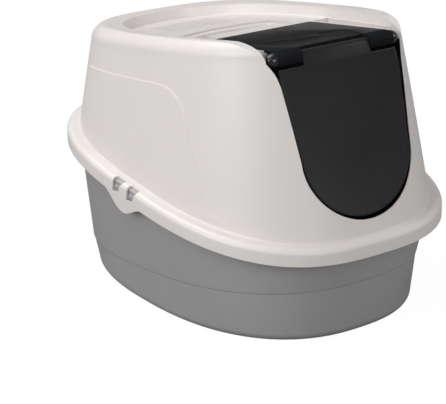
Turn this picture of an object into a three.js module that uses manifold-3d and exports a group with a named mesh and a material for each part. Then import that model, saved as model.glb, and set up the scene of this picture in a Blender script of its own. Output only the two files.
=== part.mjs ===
// Covered cat litter box: a grey pan, a light hood with a sloping top, a flip-up top lid
// that carries a smoked swing flap, a folding carry handle and a carbon filter in a slide-in tray.
// Millimetres, +Z up, -Y is the front with the flap, origin under the middle on the floor.
import * as THREE from "three";
import { mergeVertices } from "three/addons/utils/BufferGeometryUtils.js";
import Module from "manifold-3d";

const wasm = await Module();
wasm.setup();

// Overall size
const LENGTH = 610;
const WIDTH = 457;
const HEIGHT = 426;

// Walls and gaps shared by all pieces
const WALL = 3;
const GAP = 0.3;
const OVERRUN = 40;
const RING_STEPS = 64;
const CURVE_STEPS = 12;
const CORNER_STEPS = 2;
const BEVEL_STEPS = 2;
const BAIL_STEPS = 9;
const SIDES = { knuckle: 28, barrel: 24, rod: 20, bore: 18, pin: 16, dome: 12 };
const WELD_SHARE = 1e-4;

// Where the rings of a loft lie, as shares of their run
const ROUND_SHARES = [0, 0.5, 1];
const WALL_SHARES = [0.25, 0.5, 0.75, 1];
const FOOT_SHARES = [0, 0.35, 0.7, 1];
const PANEL_SHARES = [0.05, 0.3, 0.55, 0.8];

// Brim of the hood: the rolled flange that covers the pan's edge and rises to the rear
const BRIM = { low: 170, top: 193.5, bead: 8, power: 2.75, riseShare: 0.134 };
const BRIM_LEDGE = { side: 21, end: 15, fillet: 6 };

// Hood wall, from the brim up to the rounded shoulder under the sloping top
const SHOULDER_INSET = { side: 52.5, end: 51 };
const SHOULDER = {
  half: WIDTH / 2 - SHOULDER_INSET.side,
  front: LENGTH / 2 - SHOULDER_INSET.end,
  rear: LENGTH / 2 - SHOULDER_INSET.end,
  centre: 22,
  power: 2.9,
  radius: 25,
};
const TOP = { fallShare: 0.132, tip: 145, deckDrop: 20 };

// Recessed deck in the top, open to the front between two horns
const RECESS_INSET = { side: 28, rear: 22, horn: 49, hornEnd: 107 };
const RECESS = {
  half: SHOULDER.half - RECESS_INSET.side,
  rear: SHOULDER.rear - RECESS_INSET.rear,
  centre: 5,
  power: 2.5,
  hornHalf: SHOULDER.half - RECESS_INSET.horn,
  hornAt: LENGTH / 2 - RECESS_INSET.hornEnd,
};
const GUTTER = { depth: 8, lipOuter: 108, lipInner: 98.5, lipDrop: 2.4 };

// Doorway in the sloping front, measured from the flap's hinge axis down the slope
const HINGE_BACK = 112.3;
const HINGE = { y: HINGE_BACK - LENGTH / 2, z: -11.2, knuckle: 11, inner: 61.5, outer: 104, room: 2 };
const DOOR = { leanShare: 0.35, half: 100, centre: 145.5, drop: 97, topHalf: 113, topAt: 19, mouthHalf: 127 };
const DOOR_MOUTH = { above: 11, inside: 18, outside: 60 };

// Latch tab on each side of the brim, with two slots
const TAB = { centre: 6, half: 48, dip: 20, steps: 16, fullness: 0.8 };
const SLOT = { top: 25, bottom: 13.5, low: 6.5, high: 23, pitch: 36.5, ahead: 6.5 };

// Raised panel on each side wall
const PANEL = { proud: 1.6, rear: 190, frontTop: 84, frontLow: 190, top: 338, topTiltShare: 0.085 };
const PANEL_CORNER = { radius: 24, low: 150 };

// Pan
const PAN_INSET = { side: 29, end: 37 };
const PAN = {
  half: WIDTH / 2 - PAN_INSET.side,
  front: LENGTH / 2 - PAN_INSET.end,
  rear: LENGTH / 2 - PAN_INSET.end,
  centre: -3,
  power: 2.42,
  foot: 14,
  floor: 3.5,
};
const PAN_TOP = { inset: 17, lipGap: 1.5, lipThick: 3 };
const CREASE = { level: 60, fallShare: 0.075, step: 1.3, height: 1.5 };

// Snap hooks on the pan's rim
const HOOK = { tongueThick: 2.4, proud: 2.6, tall: 4.5, ramp: 2.2, side: 1.5, tongueLow: 4 };

// Top lid
const LID = { proud: 0.8, thick: 3, rear: 17, barrel: 5.5, rearHalf: 103.3, frontHalf: 101.5 };
const LID_RIB = { half: 96.5, thick: 2, deep: 8, rearAt: 34 };
const LID_PIN = { radius: 3, length: 6, clearance: 0.3, ear: 7, earReach: 8.5 };
const LID_DISH = { half: 72, reach: 71.7, tongueReach: 51.7, tongueHalf: 12, curve: 27, deep: 1.2, corner: 16 };
const KNUCKLE_RING = { proud: 1, width: 2 };

// Flap and its two hinge pins
const FLAP = { thick: 3, barrel: 7.5, play: 1.5, side: 3.5, bottomGap: 5, topHalf: 105, shoulder: 42 };
const FLAP_EDGE = { notchGap: 3.5, bead: 2.2, proud: 0.9 };
const FLAP_PIN = { radius: 4, head: 10.6, dome: 14, domeSteps: 5, reach: 18, clearance: 0.35 };

// Folding carry handle and its pocket in the deck
const HANDLE = { half: 84, pivotY: 5, pivotZ: 5.5, arm: 13, bar: 14, arc: 228, crest: 76, thick: 8, bevel: 2 };
const HANDLE_PIN = { radius: 3, length: 5, clearance: 0.3, boss: 7 };
const POCKET = { gap: 2.5, depth: 14, front: 8, islandHalf: 64, islandRear: 25, corner: 8, restHalf: 44, rest: 6 };

// Vent slots, filter pad and slide-in tray
const VENT = { count: 5, first: 118, pitch: 15, half: 58, width: 4 };
const PAD = { half: 66, length: 78, thick: 8 };
const TRAY = { wall: 2, flange: 6, flangeThick: 2, slots: 6, slotWidth: 6, slotPitch: 12, slotHalf: 52 };
const RAIL = { thick: 2, hook: 6 };

// Finishes
const FINISH = {
  hood: { color: 0xdad6d3, roughness: 0.42, metalness: 0 },
  pan: { color: 0x9c9a9b, roughness: 0.45, metalness: 0 },
  lid: { color: 0x1c1d1f, roughness: 0.28, metalness: 0 },
  flap: { color: 0x2b2a2b, roughness: 0.2, metalness: 0 },
  pin: { color: 0x26262a, roughness: 0.35, metalness: 0 },
  carbon: { color: 0x17181a, roughness: 0.95, metalness: 0 },
};

// Sizes worked out from the ones above
const BRIM_OUTLINE = { half: WIDTH / 2, front: LENGTH / 2, rear: LENGTH / 2, centre: 0, power: BRIM.power };
const WALL_FOOT = {
  half: WIDTH / 2 - BRIM_LEDGE.side,
  front: LENGTH / 2 - BRIM_LEDGE.end,
  rear: LENGTH / 2 - BRIM_LEDGE.end,
  centre: 0,
  power: BRIM.power,
};
const RIM_LEVEL = HEIGHT - TOP.fallShare * TOP.tip;
const DECK_LEVEL = RIM_LEVEL - TOP.deckDrop;
const DECK_TILT = Math.atan(TOP.fallShare);
const DOOR_LEAN = Math.atan(DOOR.leanShare);
const DECK = new THREE.Matrix4()
  .makeTranslation(0, 0, DECK_LEVEL)
  .multiply(new THREE.Matrix4().makeRotationX(-DECK_TILT));
const DECK_FRONT = -(LID.rear - LID.barrel - 2 * GAP);
const LID_AXIS = { y: -LID.rear, z: LID.proud - LID.barrel };

// Solids: closed geometry in, closed geometry out
function toSolid(geometry) {
  const bare = geometry.clone();
  for (const name of ["normal", "uv"]) bare.deleteAttribute(name);
  const merged = mergeVertices(bare, WELD_SHARE);
  return new wasm.Manifold(new wasm.Mesh({
    numProp: 3,
    vertProperties: new Float32Array(merged.attributes.position.array),
    triVerts: new Uint32Array(merged.index.array),
  }));
}

function toGeometry(solid) {
  const mesh = solid.getMesh();
  const geometry = new THREE.BufferGeometry();
  geometry.setAttribute("position", new THREE.BufferAttribute(mesh.vertProperties, 3));
  geometry.setIndex(new THREE.BufferAttribute(mesh.triVerts, 1));
  geometry.computeVertexNormals();
  return geometry;
}

function cutAll(solid, cutters) {
  return cutters.reduce((body, cutter) => body.subtract(cutter), solid);
}

function joinAll(solids) {
  return solids.reduce((body, piece) => body.add(piece));
}

// Plan outlines: a squared ellipse with its own front and rear lengths
function inset(outline, amount) {
  return {
    ...outline,
    half: outline.half - amount,
    front: outline.front - amount,
    rear: outline.rear - amount,
  };
}

function blend(from, to, share) {
  const mix = (key) => from[key] + (to[key] - from[key]) * share;
  return { half: mix("half"), front: mix("front"), rear: mix("rear"), centre: mix("centre"), power: mix("power") };
}

function planPoint(outline, angle) {
  const along = Math.sin(angle);
  const across = Math.cos(angle);
  const reach = along < 0 ? outline.front : outline.rear;
  const sum = Math.abs(across / outline.half) ** outline.power + Math.abs(along / reach) ** outline.power;
  const radius = sum ** (-1 / outline.power);
  return new THREE.Vector2(radius * across, outline.centre + radius * along);
}

// A ring is an outline on a plane that rises along Y
function ring(outline, level, rise) {
  const points = [];
  for (let step = 0; step < RING_STEPS; step += 1) {
    const plan = planPoint(outline, (step / RING_STEPS) * 2 * Math.PI);
    points.push(new THREE.Vector3(plan.x, plan.y, level + rise * plan.y));
  }
  return points;
}

// A loft through rings from the bottom up, closed by flat caps
function loft(rings) {
  const count = rings[0].length;
  const positions = rings.flat().flatMap((point) => [point.x, point.y, point.z]);
  const index = [];
  for (let level = 0; level + 1 < rings.length; level += 1) {
    for (let step = 0; step < count; step += 1) {
      const next = (step + 1) % count;
      const low = level * count;
      const high = low + count;
      index.push(low + step, low + next, high + next, low + step, high + next, high + step);
    }
  }
  const last = (rings.length - 1) * count;
  for (let step = 1; step + 1 < count; step += 1) {
    index.push(0, step + 1, step);
    index.push(last, last + step, last + step + 1);
  }
  const geometry = new THREE.BufferGeometry();
  geometry.setAttribute("position", new THREE.BufferAttribute(new Float32Array(positions), 3));
  geometry.setIndex(index);
  return toSolid(geometry);
}

// Prisms from flat outlines
function shapeOf(points) {
  return new THREE.Shape(points.map(([x, y]) => new THREE.Vector2(x, y)));
}

function prism(shape, from, to, matrix) {
  const geometry = new THREE.ExtrudeGeometry(shape, {
    depth: to - from,
    bevelEnabled: false,
    curveSegments: shape.curveSteps ?? CURVE_STEPS,
  });
  geometry.translate(0, 0, from);
  if (matrix) geometry.applyMatrix4(matrix);
  return toSolid(geometry);
}

function rectangle(left, right, front, rear) {
  return shapeOf([[left, front], [right, front], [right, rear], [left, rear]]);
}

function roundedRectangle(left, right, front, rear, radius) {
  const shape = new THREE.Shape();
  shape.curveSteps = CORNER_STEPS;
  shape.moveTo(left + radius, front);
  shape.lineTo(right - radius, front);
  shape.absarc(right - radius, front + radius, radius, -Math.PI / 2, 0, false);
  shape.lineTo(right, rear - radius);
  shape.absarc(right - radius, rear - radius, radius, 0, Math.PI / 2, false);
  shape.lineTo(left + radius, rear);
  shape.absarc(left + radius, rear - radius, radius, Math.PI / 2, Math.PI, false);
  shape.lineTo(left, front + radius);
  shape.absarc(left + radius, front + radius, radius, Math.PI, 1.5 * Math.PI, false);
  return shape;
}

// A round bar along X at a place in the YZ plane
function barAlongX(radius, from, to, y, z, sides) {
  const geometry = new THREE.CylinderGeometry(radius, radius, to - from, sides);
  geometry.rotateZ(Math.PI / 2);
  geometry.translate((from + to) / 2, y, z);
  return geometry;
}

// A profile in the YZ plane, extruded along X
const ACROSS = new THREE.Matrix4().makeBasis(
  new THREE.Vector3(0, 1, 0),
  new THREE.Vector3(0, 0, 1),
  new THREE.Vector3(1, 0, 0),
);

function acrossPrism(shape, from, to) {
  return prism(shape, from, to, ACROSS);
}

const onDeck = (solid) => solid.transform(DECK.elements);

// Doorway frame: X across, Y up the slope, Z out to the front, origin on the flap's axis
const HINGE_POINT = new THREE.Vector3(0, HINGE.y, HINGE.z).applyMatrix4(DECK);
const DOOR_FRAME = new THREE.Matrix4().makeBasis(
  new THREE.Vector3(1, 0, 0),
  new THREE.Vector3(0, Math.sin(DOOR_LEAN), Math.cos(DOOR_LEAN)),
  new THREE.Vector3(0, -Math.cos(DOOR_LEAN), Math.sin(DOOR_LEAN)),
).setPosition(HINGE_POINT);

// Hood: outer skin, inner skin and everything cut from them
function brimRings(shell) {
  const bead = BRIM.bead;
  const rings = [ring(inset(BRIM_OUTLINE, shell), BRIM.low - TAB.dip - OVERRUN / 2 - shell, BRIM.riseShare)];
  for (const share of ROUND_SHARES) {
    const turn = (share * Math.PI) / 2;
    const radius = bead - shell;
    const side = bead - radius * Math.cos(turn);
    const level = BRIM.top - bead + radius * Math.sin(turn);
    rings.push(ring(inset(BRIM_OUTLINE, side), level, BRIM.riseShare));
  }
  return rings;
}

function wallFootRings(shell) {
  const fillet = BRIM_LEDGE.fillet;
  const radius = fillet + shell;
  return ROUND_SHARES.map((share) => {
    const turn = (share * Math.PI) / 2;
    const out = fillet - radius * Math.sin(turn);
    const level = BRIM.top + fillet - radius * Math.cos(turn);
    return ring(inset(WALL_FOOT, -out), level, BRIM.riseShare);
  });
}

function wallOutline(share, grow) {
  return inset(blend(WALL_FOOT, SHOULDER, share), -grow);
}

function wallRing(share, grow) {
  const foot = BRIM.top + BRIM_LEDGE.fillet;
  const head = RIM_LEVEL - SHOULDER.radius;
  const level = foot + (head - foot) * share;
  const rise = BRIM.riseShare + (-TOP.fallShare - BRIM.riseShare) * share;
  return ring(wallOutline(share, grow), level, rise);
}

function shoulderRings(shell) {
  return WALL_SHARES.map((share) => {
    const turn = (share * Math.PI) / 2;
    const radius = SHOULDER.radius - shell;
    const side = SHOULDER.radius - radius * Math.cos(turn);
    const level = RIM_LEVEL - SHOULDER.radius + radius * Math.sin(turn);
    return ring(inset(SHOULDER, side), level, -TOP.fallShare);
  });
}

function skin(shell) {
  const walls = WALL_SHARES.map((share) => wallRing(share, -shell));
  return loft([...brimRings(shell), ...wallFootRings(shell), ...walls, ...shoulderRings(shell)]);
}

// The recess outline in the deck's own plane, open far beyond the front
function recessShape(grow, frontLimit) {
  const half = RECESS.half + grow;
  const points = [];
  const outline = {
    half,
    front: RECESS.rear + grow,
    rear: RECESS.rear + grow,
    centre: RECESS.centre,
    power: RECESS.power,
  };
  const steps = RING_STEPS / 2;
  for (let step = 0; step <= steps; step += 1) {
    const plan = planPoint(outline, (step / steps) * Math.PI);
    points.push([plan.x, plan.y]);
  }
  const horn = RECESS.hornHalf + grow;
  points.push([-horn, -RECESS.hornAt], [-horn, -frontLimit], [horn, -frontLimit], [horn, -RECESS.hornAt]);
  return shapeOf(points);
}

function sideAt(y) {
  const share = (RECESS.centre - y) / (RECESS.centre + RECESS.hornAt);
  return RECESS.half + (RECESS.hornHalf - RECESS.half) * share;
}

// The strip of the recess in front of the deck's front edge, from an inner half width outward
function frontStrip(inner, grow, from, to) {
  const rear = DECK_FRONT + grow;
  const reach = LENGTH / 2 + OVERRUN;
  const solids = [1, -1].map((side) => {
    const points = [
      [side * inner, rear],
      [side * inner, -reach],
      [side * (RECESS.hornHalf + grow), -reach],
      [side * (RECESS.hornHalf + grow), -RECESS.hornAt],
      [side * (sideAt(rear) + grow), rear],
    ];
    return prism(shapeOf(side > 0 ? points : points.reverse()), from, to);
  });
  return joinAll(solids);
}

function handlePocketShape(grow) {
  const half = HANDLE.half + POCKET.gap + grow;
  const arc = HANDLE.arc + POCKET.gap + grow;
  const centre = HANDLE.crest - HANDLE.arc;
  const front = HANDLE.pivotY - POCKET.front - grow;
  const corner = Math.asin(half / arc);
  const shape = new THREE.Shape();
  shape.moveTo(-half, front);
  shape.lineTo(half, front);
  shape.absarc(0, centre, arc, Math.PI / 2 - corner, Math.PI / 2 + corner, false);
  shape.closePath();
  return shape;
}

function pocketSolid(grow) {
  const bowl = prism(handlePocketShape(grow), -POCKET.depth - grow, OVERRUN);
  const island = roundedRectangle(
    -POCKET.islandHalf + grow,
    POCKET.islandHalf - grow,
    -OVERRUN,
    POCKET.islandRear - grow,
    POCKET.corner,
  );
  return bowl.subtract(prism(island, -OVERRUN, OVERRUN + GAP));
}

function pocketRests() {
  const rests = [1, -1].map((side) => {
    const at = side * POCKET.restHalf;
    const shape = rectangle(
      at - POCKET.rest / 2,
      at + POCKET.rest / 2,
      HANDLE.crest - HANDLE.bar - POCKET.rest,
      HANDLE.crest - POCKET.rest,
    );
    return prism(shape, -POCKET.depth - WALL / 2, handleBottom() - GAP);
  });
  return joinAll(rests);
}

function handleBottom() {
  return -HANDLE.pivotZ - HANDLE.thick / 2;
}

function doorwayShape() {
  const shape = new THREE.Shape();
  shape.moveTo(DOOR.mouthHalf, OVERRUN + DOOR_MOUTH.outside);
  shape.lineTo(-DOOR.mouthHalf, OVERRUN + DOOR_MOUTH.outside);
  shape.lineTo(-DOOR.mouthHalf, DOOR_MOUTH.above);
  shape.quadraticCurveTo(-DOOR.topHalf - WALL, 0, -DOOR.topHalf, -DOOR.topAt);
  shape.lineTo(-DOOR.half, -DOOR.centre);
  shape.absellipse(0, -DOOR.centre, DOOR.half, DOOR.drop, Math.PI, 2 * Math.PI, false, 0);
  shape.lineTo(DOOR.topHalf, -DOOR.topAt);
  shape.quadraticCurveTo(DOOR.topHalf + WALL, 0, DOOR.mouthHalf, DOOR_MOUTH.above);
  return shape;
}

// Lower edge of the brim, with the dipping tab, as a cutter below it
function brimTrimmer() {
  const reach = LENGTH / 2 + OVERRUN;
  const edge = (y) => BRIM.low + BRIM.riseShare * y;
  const points = [[-reach, edge(-reach)]];
  for (let step = 0; step <= TAB.steps; step += 1) {
    const share = (2 * step) / TAB.steps - 1;
    const dip = TAB.dip * ((1 + Math.cos(share * Math.PI)) / 2) ** TAB.fullness;
    const y = TAB.centre + share * TAB.half;
    points.push([y, edge(y) - dip]);
  }
  points.push([reach, edge(reach)], [reach, 0], [-reach, 0]);
  return acrossPrism(shapeOf(points.reverse()), -WIDTH, WIDTH);
}

function slotShape(centre, shrink) {
  const line = BRIM.low + BRIM.riseShare * centre;
  const rear = centre + SLOT.top / 2 - shrink;
  return shapeOf([
    [rear - SLOT.bottom + shrink, line + SLOT.low + shrink],
    [rear, line + SLOT.low + shrink],
    [rear, line + SLOT.high - shrink],
    [centre - SLOT.top / 2 + shrink, line + SLOT.high - shrink],
  ]);
}

function slotCentres() {
  return [1, -1].map((side) => TAB.centre + (side * SLOT.pitch) / 2 - SLOT.ahead);
}

function slotCutters() {
  const inner = WIDTH / 2 - BRIM.bead;
  const outer = WIDTH / 2 + OVERRUN;
  const cutters = slotCentres().flatMap((centre) => [
    acrossPrism(slotShape(centre, 0), inner, outer),
    acrossPrism(slotShape(centre, 0), -outer, -inner),
  ]);
  return joinAll(cutters);
}

// The raised panel: the wall skin grown outward, kept only inside the panel's side view
function panelBody() {
  const body = loft(PANEL_SHARES.map((share) => wallRing(share, PANEL.proud)));
  const top = (y) => PANEL.top - PANEL.topTiltShare * y;
  const shape = new THREE.Shape();
  const radius = PANEL_CORNER.radius;
  shape.moveTo(PANEL.rear, PANEL_CORNER.low);
  shape.lineTo(PANEL.rear, top(PANEL.rear));
  shape.lineTo(-PANEL.frontTop + radius, top(-PANEL.frontTop));
  shape.quadraticCurveTo(-PANEL.frontTop - radius, top(-PANEL.frontTop), -PANEL.frontTop - 2 * radius,
    top(0) - 2 * radius);
  shape.lineTo(-PANEL.frontLow, PANEL_CORNER.low);
  shape.closePath();
  return body.intersect(acrossPrism(shape, -WIDTH, WIDTH));
}

function ventCutters() {
  const cutters = [];
  for (let slot = 0; slot < VENT.count; slot += 1) {
    const y = VENT.first + slot * VENT.pitch;
    const shape = roundedRectangle(-VENT.half, VENT.half, y, y + VENT.width, VENT.width / 2 - GAP);
    cutters.push(prism(shape, -OVERRUN, OVERRUN));
  }
  return joinAll(cutters);
}

function ventCentre() {
  return VENT.first + ((VENT.count - 1) * VENT.pitch + VENT.width) / 2;
}

// Rails under the deck that carry the filter tray
function trayTop() {
  return -WALL - GAP;
}

function railBars() {
  const rear = ventCentre() + PAD.length / 2 + TRAY.wall;
  const front = ventCentre() - PAD.length / 2 - TRAY.wall;
  const flangeOuter = PAD.half + GAP + TRAY.wall + TRAY.flange;
  const hookTop = trayTop() - TRAY.flangeThick - GAP;
  const hookLow = hookTop - RAIL.thick;
  const inner = flangeOuter + GAP;
  const bars = [1, -1].flatMap((side) => [
    prism(sideRectangle(side, inner, inner + RAIL.thick, front, rear), hookLow, -WALL / 2),
    prism(sideRectangle(side, inner + RAIL.thick - RAIL.hook, inner + RAIL.thick, front, rear), hookLow, hookTop),
  ]);
  return joinAll(bars);
}

function sideRectangle(side, inner, outer, front, rear) {
  return side > 0 ? rectangle(inner, outer, front, rear) : rectangle(-outer, -inner, front, rear);
}

// Ears beside the lid's rear corners that hold its stub pins
function lidEars() {
  const ears = [1, -1].map((side) => {
    const inner = LID.rearHalf + 2 * GAP;
    const shape = sideRectangle(side, inner, inner + LID_PIN.ear, LID_AXIS.y - LID_PIN.earReach, DECK_FRONT + WALL);
    return prism(shape, -GUTTER.depth - WALL, 0);
  });
  return joinAll(ears);
}

function lidPinHoles() {
  const radius = LID_PIN.radius + LID_PIN.clearance;
  const reach = LID.rearHalf + LID_PIN.length + 2 * GAP;
  return toSolid(barAlongX(radius, -reach, reach, LID_AXIS.y, LID_AXIS.z, SIDES.pin));
}

function handlePinHoles() {
  const radius = HANDLE_PIN.radius + HANDLE_PIN.clearance;
  const reach = HANDLE.half + HANDLE_PIN.length + POCKET.gap;
  return toSolid(barAlongX(radius, -reach, reach, HANDLE.pivotY, -HANDLE.pivotZ, SIDES.pin));
}

function handleBosses() {
  const bosses = [1, -1].map((side) => {
    const inner = HANDLE.half + POCKET.gap;
    const shape = sideRectangle(
      side,
      inner,
      inner + HANDLE_PIN.boss,
      HANDLE.pivotY - HANDLE_PIN.boss,
      HANDLE.pivotY + HANDLE_PIN.boss,
    );
    return prism(shape, -POCKET.depth, -WALL / 2);
  });
  return joinAll(bosses);
}

// Room in the hood for the lid's front knuckles, open upward so that they can lift out
function knuckleRoom() {
  const radius = HINGE.knuckle + HINGE.room;
  const dome = FLAP_PIN.dome + HINGE.room;
  const channel = new THREE.Shape();
  channel.moveTo(-HINGE.outer, HINGE.y - radius);
  channel.lineTo(HINGE.outer, HINGE.y - radius);
  channel.absellipse(HINGE.outer, HINGE.y, dome, radius, -Math.PI / 2, Math.PI / 2, false, 0);
  channel.lineTo(-HINGE.outer, HINGE.y + radius);
  channel.absellipse(-HINGE.outer, HINGE.y, dome, radius, Math.PI / 2, 1.5 * Math.PI, false, 0);
  const round = new THREE.SphereGeometry(1, SIDES.barrel, SIDES.dome);
  round.rotateZ(Math.PI / 2);
  round.scale(dome, radius, radius);
  const ends = [1, -1].map((side) => {
    const end = round.clone();
    end.translate(side * HINGE.outer, HINGE.y, HINGE.z);
    return toSolid(end);
  });
  const bar = toSolid(barAlongX(radius, -HINGE.outer, HINGE.outer, HINGE.y, HINGE.z, SIDES.barrel));
  return joinAll([bar, ...ends, prism(channel, HINGE.z, OVERRUN)]);
}

function hoodSolid() {
  const reach = LENGTH / 2 + OVERRUN;
  const deckSide = recessShape(WALL, reach);
  const deckBlock = prism(deckSide, -WALL, HEIGHT)
    .add(frontStrip(0, WALL, -GUTTER.depth - WALL, 0))
    .add(pocketSolid(WALL))
    .add(railBars())
    .add(handleBosses())
    .add(lidEars());
  const hollow = skin(WALL).subtract(onDeck(deckBlock));
  const lidSeat = prism(rectangle(-GUTTER.lipOuter, GUTTER.lipOuter, -reach, DECK_FRONT), -GUTTER.lipDrop, OVERRUN);
  const lidHole = prism(
    rectangle(-GUTTER.lipInner, GUTTER.lipInner, -reach, DECK_FRONT),
    -2 * OVERRUN,
    OVERRUN,
  );
  const barrelNotch = prism(
    rectangle(-LID.rearHalf - 2 * GAP, LID.rearHalf + 2 * GAP, LID_AXIS.y - LID_PIN.earReach, DECK_FRONT),
    -2 * OVERRUN,
    OVERRUN,
  );
  const deckCuts = joinAll([
    prism(recessShape(0, reach), 0, HEIGHT),
    frontStrip(GUTTER.lipOuter, 0, -GUTTER.depth, OVERRUN),
    lidSeat.subtract(lidEars()),
    lidHole,
    pocketSolid(0).subtract(pocketRests()),
    ventCutters(),
  ]).subtract(lidEars());
  const body = cutAll(skin(0).add(panelBody()), [
    hollow,
    onDeck(deckCuts),
    onDeck(barrelNotch),
    onDeck(knuckleRoom()),
    onDeck(lidPinHoles()),
    onDeck(handlePinHoles()),
    prism(doorwayShape(), -DOOR_MOUTH.inside, DOOR_MOUTH.outside, DOOR_FRAME),
    brimTrimmer(),
    slotCutters(),
  ]);
  return body;
}

// Pan: the tub that holds the litter
function panOutline(share, grow) {
  return inset(blend(PAN, inset(BRIM_OUTLINE, PAN_TOP.inset), share), -grow);
}

function panTopLevel() {
  return BRIM.top - WALL - GAP;
}

function panRing(share, level, rise, grow) {
  return ring(panOutline(share, grow), level, rise);
}

function panFootRings(shell, floor) {
  const radius = PAN.foot - shell;
  return FOOT_SHARES.map((share) => {
    const turn = (share * Math.PI) / 2;
    const side = PAN.foot - radius * Math.sin(turn);
    const level = floor + radius * (1 - Math.cos(turn));
    return panRing(0, level, 0, -side);
  });
}

function panSolid() {
  const top = panTopLevel();
  const low = top - PAN_TOP.lipThick;
  const creaseShare = CREASE.level / low;
  const outer = loft([
    ...panFootRings(0, 0),
    panRing(creaseShare, CREASE.level, -CREASE.fallShare, -CREASE.step),
    panRing(creaseShare, CREASE.level + CREASE.height, -CREASE.fallShare, 0),
    panRing(1, low, BRIM.riseShare, 0),
    ring(inset(BRIM_OUTLINE, WALL + PAN_TOP.lipGap), low, BRIM.riseShare),
    ring(inset(BRIM_OUTLINE, WALL + PAN_TOP.lipGap), low + PAN_TOP.lipThick / 3, BRIM.riseShare),
    ring(inset(BRIM_OUTLINE, BRIM.bead), top, BRIM.riseShare),
  ]);
  const inner = loft([
    ...panFootRings(WALL, PAN.floor),
    panRing(creaseShare, CREASE.level, -CREASE.fallShare, -WALL - CREASE.step),
    panRing(creaseShare, CREASE.level + CREASE.height, -CREASE.fallShare, -WALL),
    panRing(1, top + WALL, BRIM.riseShare, -WALL),
  ]);
  return outer.subtract(inner);
}

// Snap hooks: a tongue under the pan's lip with two ramped noses that fill the brim's slots
function hookSolid(side) {
  const low = BRIM.low + HOOK.tongueLow;
  const top = panTopLevel() - PAN_TOP.lipThick - GAP;
  const edge = WALL + PAN_TOP.lipGap;
  const slots = slotCentres();
  const front = Math.min(...slots) - SLOT.top / 2;
  const rear = Math.max(...slots) + SLOT.top / 2;
  const rise = BRIM.riseShare;
  const band = loft([
    ring(inset(BRIM_OUTLINE, edge), low, rise),
    ring(inset(BRIM_OUTLINE, edge), top, rise),
  ]).subtract(loft([
    ring(inset(BRIM_OUTLINE, edge + HOOK.tongueThick), low - WALL, rise),
    ring(inset(BRIM_OUTLINE, edge + HOOK.tongueThick), top + WALL, rise),
  ]));
  const window = prism(rectangle(0, WIDTH, front, rear), 0, HEIGHT);
  const tongue = band.intersect(window);
  const noses = slots.map((centre) => {
    const line = BRIM.low + rise * centre;
    const inner = WIDTH / 2 - edge - HOOK.tongueThick / 2;
    const outer = WIDTH / 2 - edge + HOOK.proud;
    const block = acrossPrism(slotShape(centre, HOOK.side), inner, outer);
    const bottom = line + SLOT.low + HOOK.side;
    const knee = bottom + HOOK.tall;
    const ramp = knee + HOOK.ramp;
    const profile = new THREE.Matrix4().makeBasis(
      new THREE.Vector3(1, 0, 0),
      new THREE.Vector3(0, 0, 1),
      new THREE.Vector3(0, -1, 0),
    );
    const keep = shapeOf([
      [inner, bottom],
      [outer, bottom],
      [outer, knee],
      [inner + HOOK.tongueThick / 2, ramp],
      [inner, ramp],
    ]);
    return block.intersect(prism(keep, -rear - OVERRUN, -front + OVERRUN, profile));
  });
  const solid = joinAll([tongue, ...noses]);
  return side > 0 ? solid : solid.mirror([1, 0, 0]);
}

// Top lid, in the deck's frame
function lidPlateShape() {
  const front = HINGE.y;
  return shapeOf([
    [-LID.frontHalf, front],
    [LID.frontHalf, front],
    [LID.rearHalf, -LID.rear],
    [-LID.rearHalf, -LID.rear],
  ]);
}

function lidDishShape() {
  const { half, reach, tongueReach, tongueHalf, curve, corner } = LID_DISH;
  const rear = HINGE.y + reach;
  const tongue = HINGE.y + tongueReach;
  const shape = new THREE.Shape();
  const front = HINGE.y - OVERRUN;
  shape.moveTo(-half + corner, front);
  shape.lineTo(half - corner, front);
  shape.lineTo(half - corner, HINGE.y);
  const middle = tongueHalf + curve / 2;
  const outer = tongueHalf + curve;
  shape.quadraticCurveTo(half, tongue - corner, half, rear - corner / 2);
  shape.quadraticCurveTo(half, rear, half - corner, rear);
  shape.lineTo(outer, rear);
  shape.bezierCurveTo(middle, rear, middle, tongue, tongueHalf, tongue);
  shape.lineTo(-tongueHalf, tongue);
  shape.bezierCurveTo(-middle, tongue, -middle, rear, -outer, rear);
  shape.lineTo(-half + corner, rear);
  shape.quadraticCurveTo(-half, rear, -half, rear - corner / 2);
  shape.quadraticCurveTo(-half, tongue - corner, -half + corner, HINGE.y);
  return shape;
}

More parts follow.
